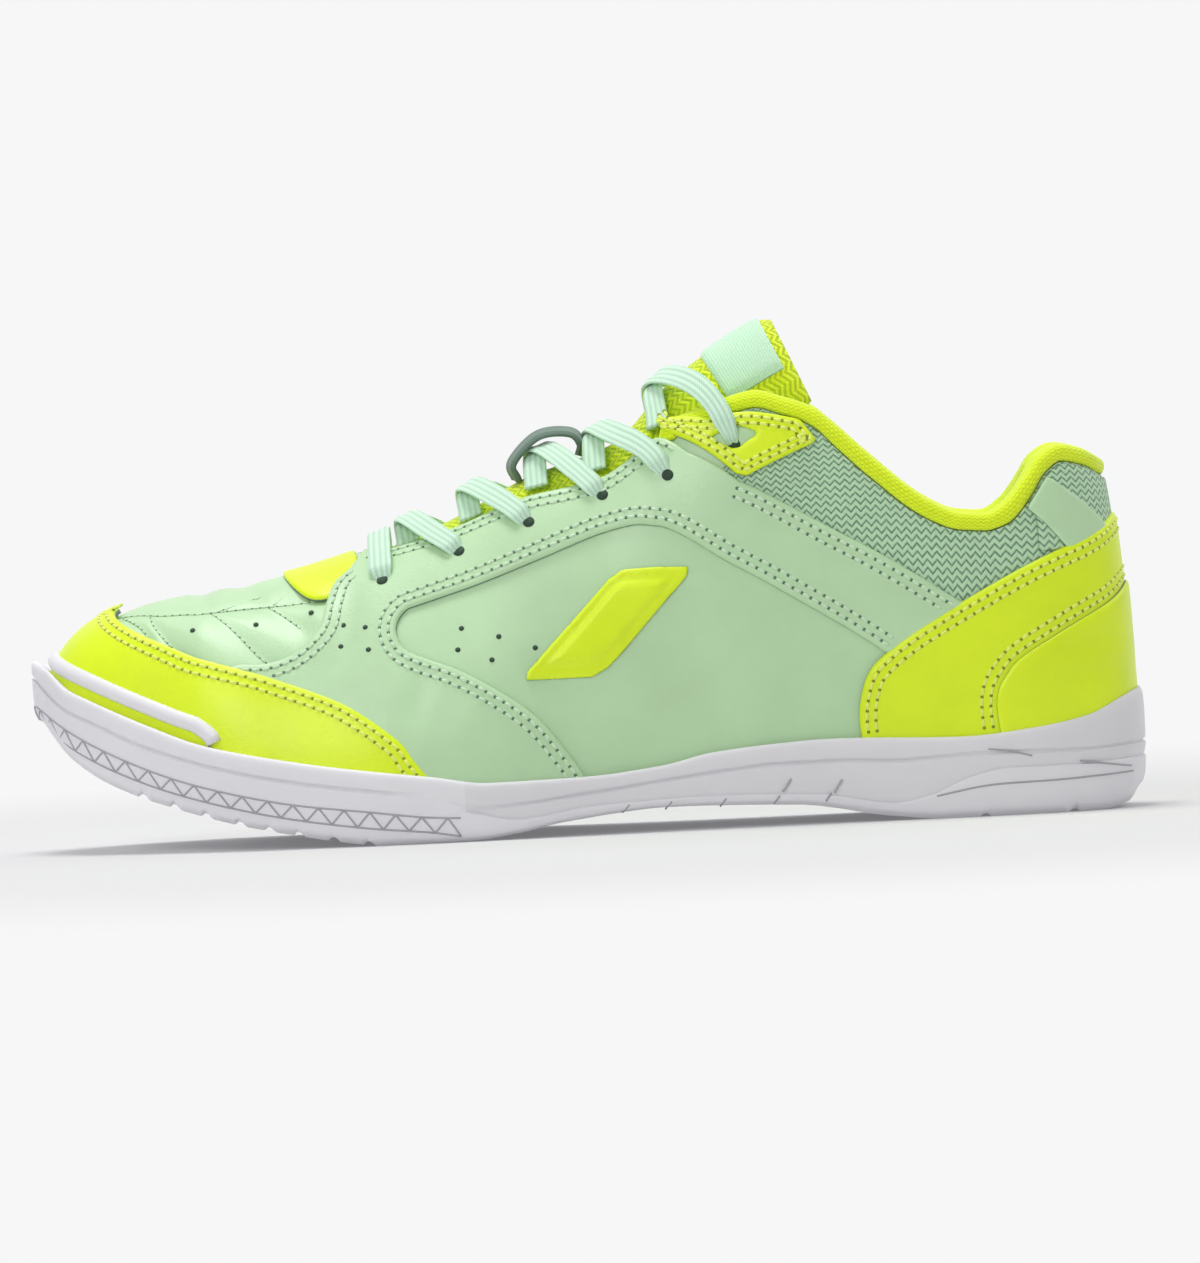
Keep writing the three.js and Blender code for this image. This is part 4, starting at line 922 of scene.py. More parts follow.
MINT = (0.5, 0.73, 0.435)
NEON = (0.74, 0.93, 0.004)
WHITE = (0.8, 0.79, 0.825)
mint_leather = leather("mint_leather", MINT)
yellow_leather = leather("yellow_leather", NEON, 0.3, 0.4)
mint_mesh = zigzag_knit("mint_mesh", (0.5, 0.72, 0.47), (0.1, 0.24, 0.14))
yellow_textile = zigzag_knit("yellow_textile", (0.76, 0.93, 0.01), (0.5, 0.7, 0.0),
                             1.5, 0.9, 0.6, 0.25, 0.00015)
tongue_knit = zigzag_knit("tongue_knit", (0.78, 0.95, 0.01), (0.42, 0.62, 0.0),
                          3.0, 1.9, 0.9, 0.3, 0.0006)
sole_rubber = rubber("sole_rubber", WHITE)
midsole_foam = rubber("midsole_foam", scaled(WHITE, 0.93))
line_shade_sole = rubber("sole_line_shade", (0.4, 0.4, 0.43))
insole_fabric = zigzag_knit("insole_fabric", (0.6, 0.75, 0.05), (0.4, 0.55, 0.02),
                            1.2, 0.8, 0.3, 0.25, 0.0001)
mint_thread = thread("mint_thread", (0.66, 0.87, 0.6))
yellow_thread = thread("yellow_thread", (0.88, 1.0, 0.16))
# Near-black discs for punched holes and eyelets: painted shade in the holes.
painted_hole_shade = thread("painted_hole_shade", (0.02, 0.06, 0.03))
# Darker copies of the leather colours for the needle holes: painted shade in the holes.
painted_mint_hole_shade = thread("painted_mint_hole_shade", (0.1, 0.22, 0.12))
painted_yellow_hole_shade = thread("painted_yellow_hole_shade", (0.27, 0.33, 0.01))
# Side faces of every panel's rim: partly the leather's darker cut edge, partly painted shade along the
# step.
cut_edge_and_step_shade = thread("cut_edge_and_step_shade", (0.16, 0.24, 0.19))
lace_tape = lace_weave("lace_tape", (0.62, 0.88, 0.68))
keeper_web = lace_weave("keeper_web", (0.14, 0.22, 0.17))
label_cloth = zigzag_knit("label_cloth", (0.56, 0.83, 0.6), (0.45, 0.72, 0.5),
                          1.0, 0.6, 0.3, 0.2, 0.0001)
lining_cloth = zigzag_knit("lining_cloth", (0.5, 0.62, 0.03), (0.3, 0.42, 0.01),
                           1.4, 0.9, 0.5, 0.25, 0.0002)


# Camera: the photograph's width of 1200 pixels is 313.7 mm at the shoe's near side, and the
# picture is turned by a small roll.
FRAME_WIDTH = 313.7
FRAME_SHAPE = 1263 / 1200
CAMERA_DISTANCE = 4000.0
CAMERA_AIM = Vector((3.9, -22.0, 52.4))
CAMERA_ROLL = math.atan2(0.0451, 0.99898)
CAMERA_RISE = math.radians(1.5)
SENSOR = 36.0


def add_camera():
    data = bpy.data.cameras.new("camera")
    data.sensor_width = SENSOR
    data.lens = SENSOR * CAMERA_DISTANCE / (FRAME_WIDTH * FRAME_SHAPE)
    data.clip_start, data.clip_end = 0.1, 20
    camera = bpy.data.objects.new("camera", data)
    back = Vector((0, -math.cos(CAMERA_RISE), math.sin(CAMERA_RISE)))
    camera.location = (CAMERA_AIM + back * CAMERA_DISTANCE) * MM
    level = (-back).to_track_quat("-Z", "Y").to_matrix().to_4x4()
    turned = level @ Matrix.Rotation(-CAMERA_ROLL, 4, "Z")
    camera.rotation_mode = "QUATERNION"
    camera.rotation_quaternion = turned.to_quaternion()
    bpy.context.scene.collection.objects.link(camera)
    bpy.context.scene.camera = camera


add_camera()


# Upper: one wall, mint leather in front and zigzag mesh behind, with its inner face
def upper():
    count, levels, deep = 640, 96, 24
    around = np.linspace(0, 2, count, endpoint=False)
    edge = wall_edge(around)
    share = np.linspace(0, 1, levels)
    girth = edge[:, None] * share[None, :]
    grid = np.broadcast_to(around[:, None], girth.shape)
    base = last(grid, girth)
    front = ease(0.66, 0.7, along_of(base[..., 0]))
    quilted = relief(base, True)
    plain = relief(base)
    top = base + normal_at(grid, girth) * mix(plain, quilted, front)[..., None]
    inner_share = np.linspace(1, 0, deep)
    inner_girth = edge[:, None] * inner_share[None, :]
    inner_grid = np.broadcast_to(around[:, None], inner_girth.shape)
    lining = last(inner_grid, inner_girth, -UPPER_WALL)
    points = np.concatenate([top, lining], 1)
    flat = np.concatenate([flat_of(grid, girth), flat_of(inner_grid, inner_girth)], 1)
    columns = levels + deep
    faces = grid_faces(count, columns, closed_rows=True, closed_columns=True, flip=True)
    piece = mesh_object("upper_wall", points.reshape(-1, 3), faces, flat.reshape(-1, 2))
    dress(piece, mint_leather, "mint_leather", "upper")
    piece.data.materials.append(mint_mesh)
    piece.data.materials.append(lining_cloth)
    centre = points.reshape(-1, 3)[faces].mean(1)
    along = along_of(centre[:, 0])
    strap_low = np.interp(along, [0.1, 0.2, 0.35, 0.45], [0.44, 0.5, 0.72, 0.8]) * INSTEP_HEIGHT
    meshed = (along < 0.37) & (centre[:, 2] > strap_low)
    is_inner = (faces % columns >= levels - 1).all(1)
    piece.data.polygons.foreach_set("material_index", np.where(is_inner, 2, np.where(meshed, 1, 0)))


upper()


# Sole: rings from the tread edge up the wall and over the rand
WALL_PROFILE = table("along inset", (0, 3.2), (0.12, 1.3), (0.45, 0.4), (1, 0.1))
wall_inset = follow(WALL_PROFILE, "inset")
TREAD_HALF_WIDTH = 1.1
# Tread grooves: place along the shoe and depth.
TREAD_GROOVES = [(along, 1.1) for along in (0.9, 0.872, 0.844, 0.814, 0.788, 0.762, 0.731, 0.7)]
TREAD_GROOVES += [(0.07, 0.8), (0.15, 0.8)]
# Section of the groove under the rand: height from its middle and share of its depth.
GROOVE_SECTION = [(-0.75, 0), (-0.5, 0.18), (-0.28, 0.8), (0, 1), (0.28, 0.8), (0.5, 0.15), (0.75, 0)]
SOLE_SPLIT = 0.612


def tread_dip(x):
    dip = np.zeros_like(x)
    for along, depth in TREAD_GROOVES:
        dip = np.maximum(dip, depth * np.exp(-((x - x_of(along)) / TREAD_HALF_WIDTH) ** 4))
    return dip


def tread_z(x):
    return bottom_z(x) + tread_dip(x)


def wall_top(x):
    return groove_z(x) - 0.9


def parting_z(x):
    along = along_of(x)
    low, top = tread_z(x), wall_top(x)
    line = np.minimum(parting_share(along) * SOLE_HEIGHT, top - 0.6)
    return np.where(along > 0.64, mix(low, top, 0.8), line)


def sole():
    half = 620
    turns = np.linspace(0, 1, half + 1)
    around = np.concatenate([turns, 2 - turns[1:-1][::-1]])
    at = plan(around)[:, 0]
    along = along_of(at)
    parted = ease(SOLE_SPLIT + 0.01, SOLE_SPLIT - 0.004, along)
    rings = []

    def ring(height_of, extra, on_wall=True):
        share = np.clip((height_of(at) - bottom_z(at)) / (wall_top(at) - bottom_z(at)), 0, 1)
        place = inset(around, (wall_inset(share) if on_wall else wall_inset(np.ones_like(at))) + extra)
        rings.append(np.column_stack([place, height_of(place[:, 0])]))
    for share in (0, 0.03, 0.07, 0.13, 0.2, 0.3, 0.42, 0.55, 0.68, 0.8, 0.9):
        ring(lambda x: mix(tread_z(x), parting_z(x) - 0.45, share), 0)
    for step, extra in ((-0.45, 0.0), (-0.22, 0.12), (0, 0.6), (0.22, 0.5), (0.45, 0.42)):
        ring(lambda x: parting_z(x) + step, extra * parted)
    split_row = len(rings) - 3
    for share in (0.15, 0.4, 0.65, 0.88):
        ring(lambda x: mix(parting_z(x) + 0.45, groove_z(x) - 0.75, share), 0.35 * parted * (1 - share))
    depth = groove_depth(along)
    for step, extra in GROOVE_SECTION:
        ring(lambda x: groove_z(x) + step, extra * depth)
    for share, extra in ((0.3, 0.0), (0.6, 0.05), (0.8, 0.2), (0.92, 0.5), (1.0, 1.1)):
        ring(lambda x: mix(groove_z(x) + 0.75, rand_z(x), share), extra, False)
    cup = girth_where(around, lambda p: p[..., 2] > rand_z(p[..., 0]) - 0.3)
    seat = last(around, cup, 0.1)
    for drop in (0.3, 3.0):
        rings.append(np.column_stack([seat[:, :2], rand_z(seat[:, 0]) - drop]))
    points = np.stack(rings, 1)
    columns = points.shape[1]
    faces = grid_faces(len(around), columns, closed_rows=True, flip=True)
    uv = np.stack(spread(run_along(points[:, 20])[:, None], points[..., 2]), -1).reshape(-1, 2)
    flat_points = points.reshape(-1, 3)
    is_outsole = (along[faces[:, 0] // columns] > SOLE_SPLIT) | ((faces % columns).min(1) < split_row)
    bottom_points, bottom_faces = sole_bottom(points[:, 0], half)
    everything = np.vstack([flat_points, bottom_points])
    uvs = np.vstack([uv, bottom_points[:, :2]])
    outsole_faces = faces[is_outsole].tolist() + (bottom_faces + len(flat_points)).tolist()
    outsole = compact("outsole_rubber", everything, outsole_faces, uvs)
    dress(outsole, sole_rubber, "sole_rubber", "outsole")
    midsole = compact("midsole_wall", everything, faces[~is_outsole].tolist(), uvs)
    dress(midsole, midsole_foam, "midsole_foam", "midsole")


def sole_bottom(edge, half):
    lateral = edge[:half + 1]
    medial = np.vstack([edge[:1], edge[half + 1:][::-1], edge[half:half + 1]])
    share = np.linspace(0, 1, 61)
    xy = lateral[:, None, :2] + (medial - lateral)[:, None, :2] * share[None, :, None]
    z = tread_z(xy[..., 0])
    points = np.concatenate([xy, z[..., None]], -1).reshape(-1, 3)
    return points, grid_faces(half + 1, len(share))


def compact(name, points, faces, uv):
    used = np.unique(np.concatenate([np.asarray(face) for face in faces]))
    renumber = np.full(len(points), -1)
    renumber[used] = np.arange(len(used))
    return mesh_object(name, points[used], [renumber[np.asarray(face)] for face in faces], uv[used])


sole()


# Point and normal on the sole's wall
def wall_point(around, up, out=0.0):
    at = plan(around)[..., 0]
    share = np.clip((up - bottom_z(at)) / (groove_z(at) - 0.9 - bottom_z(at)), 0, 1)
    place = inset(around, wall_inset(share) - out)
    away = outward(around)
    normal = np.concatenate([away, np.zeros(away.shape[:-1] + (1,))], -1)
    return np.concatenate([place, np.asarray(up)[..., None]], -1), normal


TRUSS = table(
    "along top low",
    (0.615, 0.2, 0.045), (0.642, 0.215, 0.09), (0.7, 0.285, 0.15), (0.763, 0.362, 0.24),
    (0.81, 0.45, 0.332), (0.869, 0.6, 0.481), (0.922, 0.8, 0.669), (0.966, 1.02, 0.887),
    (0.997, 1.232, 1.124),
)
# Short marks moulded in the sole's side, as x and z in millimetres.
SOLE_MARKS = [
    [(8.2, 5.6), (9.6, 7.6)], [(19.3, 5.8), (20.7, 7.8)], [(33.4, 5.9), (34.8, 7.9)],
    [(47.4, 6), (48.8, 8)], [(60.8, 6), (62.2, 8)], [(49.7, 8.9), (51.9, 12.2)], [(63, 8.1), (65.2, 11.4)],
    [(103.6, 17.6), (109.5, 16.8), (115, 15.3)], [(89.7, 6), (103.9, 8.2), (122.8, 8.7), (142, 9.6)],
    [(127.7, 13.2), (134.5, 12.2), (141.5, 11)],
]
TRUSS_PITCH = 6.6
truss_top = follow(TRUSS, "top")
truss_low = follow(TRUSS, "low")


def sole_lines():
    start = float(turn_of(0.618))
    arounds = np.linspace(start, 2 - start, 900)
    length = run_along(plan(arounds))
    along = along_of(plan(arounds)[:, 0])
    parts = []
    section = round_section(0.5, 0.5, 8)

    def line(around, up):
        points, normals = wall_point(around, up, 0.04)
        parts.append(sweep(points, normals, section))
    line(arounds, truss_top(along) * SOLE_HEIGHT)
    line(arounds, truss_low(along) * SOLE_HEIGHT)
    count = int(length[-1] / TRUSS_PITCH)
    for i in range(count * 2):
        ends = np.linspace(i, i + 1, 8) * length[-1] / (count * 2)
        around = np.interp(ends, length, arounds)
        here = along_of(plan(around)[:, 0])
        rise = np.abs(np.linspace(0, 1, 8) - (i % 2))
        line(around, mix(truss_low(here), truss_top(here), rise) * SOLE_HEIGHT)
    for marks in SOLE_MARKS:
        rows = curve_through(np.array(marks, float), 1.2) if len(marks) > 2 else np.array(marks, float)
        rows = evenly(rows, 0.8)
        for side_name in SIDES:
            line(around_at(along_of(rows[:, 0]), side_name), rows[:, 1])
    # Truss lines and moulded marks are dark grey rubber tubes: painted shade of the moulded lines.
    piece = joined("sole_truss_lines", parts)
    dress(piece, line_shade_sole, "sole_rubber")


sole_lines()


# Stitches, needle holes drawn as dark discs of painted shade, and seams
def stitch_template():
    rings = []
    angle = np.linspace(0, 2 * math.pi, 6, endpoint=False)
    for share, width in ((0, 0.25), (0.25, 0.85), (0.5, 1.0), (0.75, 0.85), (1, 0.25)):
        rings.append(np.stack([np.full(6, share - 0.5), np.cos(angle) * width, np.sin(angle) * width], -1))
    points = np.concatenate(rings)
    return points, outward_faces(points, capped_tube(5, 6))


def disc_template(sides):
    angle = np.linspace(0, 2 * math.pi, sides, endpoint=False)
    rim = np.stack([np.cos(angle), np.sin(angle), np.zeros(sides)], -1)
    points = np.vstack([rim, rim - [0, 0, 1]])
    faces = [list(range(sides)), [sides + i for i in range(sides)][::-1]]
    faces += [[i, sides + i, sides + (i + 1) % sides, (i + 1) % sides] for i in range(sides)]
    return points, outward_faces(points, faces)


# Many copies of one small form, each standing on a point of the shoe.
def copies(name, template, centres, ahead, normals, sizes):
    form, faces = template
    normals = unit(np.asarray(normals))
    ahead = unit(ahead - normals * (ahead * normals).sum(-1, keepdims=True))
    across = np.cross(normals, ahead)
    points = (np.asarray(centres)[:, None, :] + form[None, :, :1] * ahead[:, None, :] * sizes[0]
              + form[None, :, 1:2] * across[:, None, :] * sizes[1]
              + form[None, :, 2:] * normals[:, None, :] * sizes[2])
    size = len(form)
    every = [[corner + size * i for corner in face] for i in range(len(centres)) for face in faces]
    points = points.reshape(-1, 3)
    return mesh_object(name, points, every, points[:, :2])


STITCH = stitch_template()


def on_skin(flat, out):
    return skin(*skin_of(flat), out)


def covered(flat, covers):
    hidden = np.zeros(len(flat), bool)
    for cover in covers:
        for shift in (-PERIMETER, 0, PERIMETER):
            hidden |= inside(flat + [shift, 0], cover)
    return hidden


class Seams:
    """Gathers stitches and their needle holes along curves, to be joined into one mesh each; the holes are
    dark discs of painted shade.
    """

    def __init__(self):
        self.stitches, self.holes = [], []

    def row(self, flat, out, covers=(), pitch=STITCH_PITCH):
        walked = evenly(np.column_stack([on_skin(flat, out), flat]), pitch / 2, measured=3)
        walked = walked[:len(walked) - 1 + len(walked) % 2]
        ends, centres = walked[::2], walked[1::2]
        ahead = ends[1:, :3] - ends[:-1, :3]
        normals = on_skin(centres[:, 3:], out + 1.0) - on_skin(centres[:, 3:], out)
        seen = ~covered(centres[:, 3:], covers) & (skin_of(centres[:, 3:])[1] < 0.94)
        self.stitches.append((centres[seen, :3], ahead[seen], normals[seen]))
        self.holes.append((ends[:-1, :3][seen], ahead[seen], normals[seen]))

    def finish(self, name, material, hole, slot, thickness=0.52, length=STITCH_PITCH * 0.8):
        centres, ahead, normals = (np.vstack(part) for part in zip(*self.stitches))
        sizes = (length, thickness, thickness * 0.85)
        dress(copies(name + "_stitches", STITCH, centres, ahead, normals, sizes), material, slot)
        # Needle holes: dark discs of painted shade laid just above the surface.
        centres, ahead, normals = (np.vstack(part) for part in zip(*self.holes))
        centres = centres + unit(normals) * 0.04
        sizes = (thickness, thickness * 0.9, 0.4)
        dress(copies(name + "_needle_hole_shade", disc_template(8), centres, ahead, normals, sizes), hole, slot)


def spots(name, flats, out, radius, material, slot, sides=14):
    flats = np.asarray(flats)
    centres = on_skin(flats, out)
    normals = on_skin(flats, np.asarray(out) + 1.0) - centres
    ahead = on_skin(flats + [0.5, 0], out) - centres
    piece = copies(name, disc_template(sides), centres, ahead, normals, (radius, radius, 0.6))
    return dress(piece, material, slot)


mint_seams, yellow_seams, quilt_seams = Seams(), Seams(), Seams()
punches = []
OUTLINES = {}


def double_row(seams, flat, out, first, second, covers=()):
    for distance in (first, second):
        seams.row(shift_curve(flat, distance), out, covers)


def rand_flat(low, high, side_name, drop=2.5, count=60):
    return above_rand(around_at(np.linspace(low, high, count), side_name), -drop)


def above_rand(around, lift):
    return flat_of(around, girth_where(around, lambda p: p[..., 2] > rand_z(p[..., 0]) + lift))


# Toe cap and bumper
def toe_cap():
    lateral = shares_to_flat(TOE_CAP_EDGE, "lateral")
    medial = shares_to_flat(TOE_CAP_EDGE, "medial")
    first = float(lateral[0, 0] / PERIMETER * 2)
    around = np.linspace(first, 2 - first, 13)[2:-2]
    tip = flat_of(around, girth_where(around, lambda p: p[..., 0] > x_of(0.9255)))
    edge = curve_through(np.vstack([lateral[::-1], tip, medial]))
    low = above_rand(np.linspace(2 - turn_of(0.634), turn_of(0.634), 300), -2.5)
    outline = closed_outline(edge, low)
    OUTLINES["toe_cap"] = outline
    add_panel("toe_cap_leather", outline, TOP_OVERLAY, yellow_leather, "yellow_leather", ["toe_cap"])
    double_row(yellow_seams, edge[5:-5], TOP_OVERLAY, 2.0, 4.3)


toe_cap()


BUMPER_LIFT = 4.9
BUMPER_WIDTH = 4.2
BUMPER_HEIGHT = 3.2


def toe_bumper():
    start = float(turn_of(0.838))
    around = np.linspace(start, 2 - start, 240)
    ends = np.minimum(around - start, 2 - start - around) / (1 - start)
    lift = mix(1.2, BUMPER_LIFT, np.sqrt(np.clip(ends / 0.06, 0, 1)))
    girth = girth_where(around, lambda p: p[..., 2] > rand_z(p[..., 0]) + lift[:, None])
    path = skin(around, girth, TOP_OVERLAY + 0.2)
    part = sweep(path, normal_at(around, girth), round_section(BUMPER_WIDTH, BUMPER_HEIGHT, 16))
    dress(joined("toe_bumper_line", [part]), sole_rubber, "sole_rubber", "toe_bumper")


toe_bumper()


# Quarters with the window for the inset panel, both sides
def quarter(side_name):
    vamp = shares_to_flat(VAMP_EDGE, side_name)
    strap = shares_to_flat(STRAP_EDGE, side_name)
    throat_alongs = np.array([0.694, 0.672, 0.64, 0.61, 0.58, 0.548, 0.51, 0.476, 0.445, 0.425, 0.4])
    around = around_at(throat_alongs, side_name)
    throat = flat_of(around, top_girth(around) - 0.012)
    cap_low = rand_flat(0.7, 0.16, side_name)
    patch_low = shares_to_flat([(0.4, 0.86)], side_name)
    front = curve_through(vamp)
    top = curve_through(np.vstack([throat[:-1], patch_low]))
    rear = curve_through(strap[::-1])
    outline = closed_outline(front, top, rear, cap_low[::-1])
    window = curve_through(shares_to_flat(WINDOW_EDGE, side_name))
    bottom = rand_flat(0.498, 0.225, side_name, 2.0, 40)
    hole = closed_outline(window, bottom[::-1])
    name = "quarter_" + side_name
    add_panel(name + "_leather", outline, OVERLAY, mint_leather, "mint_leather", [name], holes=[hole])
    sign = 1 if side_name == "lateral" else -1
    covers = [OUTLINES[key] for key in ("toe_cap", "heel_band", "patch_" + side_name)]
    tip = int((sign * skin_of(front)[0]).argmax())
    double_row(mint_seams, front[tip + 3:], OVERLAY, -2.0 * sign, -4.3 * sign, covers)
    double_row(mint_seams, window[4:-3], OVERLAY, 2.0 * sign, 4.3 * sign, covers)
    double_row(mint_seams, rear, OVERLAY, -2.0 * sign, -4.3 * sign, covers)
    double_row(mint_seams, top[5:-6], OVERLAY, -1.8 * sign, -4.0 * sign, covers)
    for place in QUARTER_HOLES:
        punches.append((shares_to_flat([place], side_name)[0], OVERLAY + 0.1))
    for place in VAMP_HOLES + WINDOW_HOLES:
        punches.append((shares_to_flat([place], side_name)[0], 0.1))


# Heel pieces
def heel_panel(name, edge_rows, back, height, base, nodes):
    lateral = shares_to_flat(edge_rows, "lateral")
    medial = shares_to_flat(edge_rows, "medial") - [PERIMETER, 0]
    tip = flat_of(np.array([0.0]), girth_at_height(np.array([0.0]), [back * INSTEP_HEIGHT]))
    edge = curve_through(np.vstack([lateral, tip, medial[::-1]]))
    reach = float(turn_of(edge_rows[0][0]))
    low = above_rand(np.linspace(-reach, reach, 160), -2.5)
    outline = closed_outline(edge, low)
    OUTLINES[nodes[0]] = outline
    add_panel(name, outline, height, yellow_leather, "yellow_leather", nodes, base=base)
    return edge


band = heel_panel("heel_band_leather", BAND_EDGE, BAND_BACK, TOP_OVERLAY, 0.0, ["heel_band"])
counter = heel_panel("heel_counter_leather", COUNTER_EDGE, COUNTER_BACK, COUNTER, TOP_OVERLAY,
                     ["heel_counter"])
double_row(yellow_seams, band[6:-6], TOP_OVERLAY, -2.0, -4.3, [OUTLINES["heel_counter"]])
double_row(yellow_seams, counter[6:-6], TOP_OVERLAY, 1.6, 3.9)


# Yellow patches round the top eyelets, each with a lozenge hole for the lace
def eyelet_patch(side_name):
    outline = soft_corners(shares_to_flat(PATCH_CORNERS, side_name), 0.07)
    corners = shares_to_flat(PATCH_HOLE, side_name)
    centre = corners.mean(0)
    hole = soft_corners(centre + (corners - centre) * 0.86, 0.14)
    OUTLINES["patch_" + side_name] = outline
    name = "eyelet_patch_" + side_name
    add_panel(name + "_leather", outline, TOP_OVERLAY, yellow_leather, "yellow_leather", [name],
              holes=[hole], spacing=1.1)
    add_panel(name + "_under", soft_corners(centre + (corners - centre) * 1.2, 0.14), 0.6,
              mint_leather, "mint_leather")
    inward = -loop_turn(outline)
    double_row(yellow_seams, np.vstack([outline, outline[:1]]), TOP_OVERLAY, 1.5 * inward, 3.2 * inward)


def soft_corners(corners, cut, step=0.8):
    dense = []
    for start, end in zip(corners, np.roll(corners, -1, 0)):
        dense.append(start + (end - start) * np.linspace(cut, 1 - cut, 14)[:, None])
    return evenly(np.vstack(dense + [dense[0][:1]]), step, True)


for side_name in SIDES:
    eyelet_patch(side_name)
for side_name in SIDES:
    quarter(side_name)


# Slanted yellow patch with a raised border
def side_patch(side_name):
    outline = soft_corners(shares_to_flat(LOZENGE_CORNERS, side_name), 0.08)
    name = "side_patch_" + side_name

    def pillow(flat):
        away = np.sqrt(((flat[:, None, :] - outline[None, :, :]) ** 2).sum(2).min(1))
        return 0.75 * ease(1.4, 4.2, away) - 0.4 * np.exp(-((away - 2.4) / 0.7) ** 2)
    add_panel(name + "_leather", outline, 1.0, yellow_leather, "yellow_leather", [name],
              spacing=0.9, crown=pillow)


for side_name in SIDES:
    side_patch(side_name)


# Quilting on the vamp, stitched in short lines
def quilting():
    for side_name in SIDES:
        for line in QUILT_LINES:
            path = curve_through(shares_to_flat(line, side_name), 0.8)
            if len(path) > 6:
                quilt_seams.row(path, -0.85, [OUTLINES["toe_cap"]], pitch=2.2)


quilting()
mint_seams.finish("mint", mint_thread, painted_mint_hole_shade, "mint_leather")
yellow_seams.finish("yellow", yellow_thread, painted_yellow_hole_shade, "yellow_leather")
quilt_seams.finish("quilt", mint_thread, painted_mint_hole_shade, "mint_leather", 0.3, 1.7)
# Punched holes: dark discs of painted shade.
spots("punched_hole_shade", [flat for flat, _ in punches], np.array([out for _, out in punches]), 0.7,
      painted_hole_shade, "mint_leather")


# Places on the last seen from above
def over(x, y, out):
    x, y, out = spread(x, y, out)
    shape = x.shape
    x, y, out = x.ravel(), y.ravel(), out.ravel()
    middle = ridge_y(x)
    away = np.abs(y - middle)
    side = np.where(y - middle > 0, 1, -1)
    around = np.where(side < 0, turn_of(along_of(x)), 2 - turn_of(along_of(x)))
    girth = girth_where(around, lambda p: np.abs(p[..., 1] - middle[:, None]) < away[:, None])
    girth = np.where(away < 0.05, 1.0, girth)
    return last(around, girth, out).reshape(shape + (3,))


TONGUE_FREE_FROM = 0.47
TONGUE_FREE_TO = 0.4
TONGUE_SWEEP = 1.35


def tongue_point(along, share, depth):
    along, share, depth = spread(along, share, depth)
    x = x_of(along)
    half = tongue_half(along) * BALL_WIDTH
    bend = share * TONGUE_SWEEP
    y = half * np.sin(bend) / math.sin(TONGUE_SWEEP)
    fall = tongue_fall(along) * INSTEP_HEIGHT * (1 - np.cos(bend)) / (1 - math.cos(TONGUE_SWEEP))
    lean = np.radians(tongue_lean(along))
    normal = np.stack([-np.sin(lean), np.zeros_like(lean), np.cos(lean)], -1)
    free = np.stack([x, y + ridge_y(x), tongue_up(along) * INSTEP_HEIGHT], -1)
    free = free + normal * (-fall - depth * np.cos(bend * 0.9))[..., None]
    free[..., 1] -= depth * np.sin(bend * 0.9)
    tuck = 3.4 * ease(0.5, 0.41, along) * ease(0.4, 0.75, np.abs(share))
    crown = 1.4 * (1 - ease(0.1, 0.5, np.abs(share))) * ease(0.7, 0.66, along)
    hugging = over(x, y + ridge_y(x), -UPPER_WALL - 1 - tuck + crown - depth)
    return mix(hugging, free, ease(TONGUE_FREE_FROM, TONGUE_FREE_TO, along)[..., None])


def tongue():
    lengths, sides = 150, 56
    along = np.linspace(TONGUE["along"].max(), TONGUE["along"].min(), lengths)
    angle = np.linspace(0, 2 * math.pi, sides, endpoint=False)
    share = np.sign(np.cos(angle)) * np.abs(np.cos(angle)) ** 0.7
    thick = np.sign(np.sin(angle)) * np.abs(np.sin(angle)) ** 0.6
    taper = mix(0.4, 1, ease(0.735, 0.7, along)) * np.sqrt(np.clip((along - 0.3215) / 0.012, 0.02, 1))
    depth = TONGUE_THICKNESS / 2 * (1 - thick[None, :] * taper[:, None])
    points = tongue_point(along[:, None], share[None, :] * (0.97 + 0.03 * taper[:, None]), depth)
    across = share * tongue_half(0.4) * BALL_WIDTH * 1.4
    uv = np.stack(spread(across[None, :], run_along(points[:, 14])[:, None]), -1)
    points = points.reshape(-1, 3)
    faces = outward_faces(points, capped_tube(lengths, sides))
    piece = mesh_object("tongue_pad", points, faces, uv.reshape(-1, 2))
    dress(piece, tongue_knit, "yellow_textile", "tongue")


tongue()


def tongue_label():
    u, v = np.meshgrid(np.linspace(0, 1, 24), np.linspace(0, 1, 40), indexing="ij")
    round_off = np.minimum(np.minimum(u, 1 - u) / 0.08, np.minimum(v, 1 - v) / 0.05)
    rise = 0.9 * np.sqrt(np.clip(round_off, 0, 1))
    top = tongue_point(mix(0.385, 0.332, u), mix(0.5, -0.72, v), -0.1 - rise)
    low = tongue_point(mix(0.385, 0.332, u), mix(0.5, -0.72, v), np.full_like(u, 0.3))
    points = np.vstack([top.reshape(-1, 3), low.reshape(-1, 3)])
    faces = grid_faces(24, 40).tolist() + grid_faces(24, 40, start=960, flip=True).tolist()
    uv = np.stack([v * 30, u * 14], -1).reshape(-1, 2)
    piece = mesh_object("tongue_label_cloth", points, faces, np.vstack([uv, uv]))
    dress(piece, label_cloth, "mint_label", "tongue_label")


tongue_label()


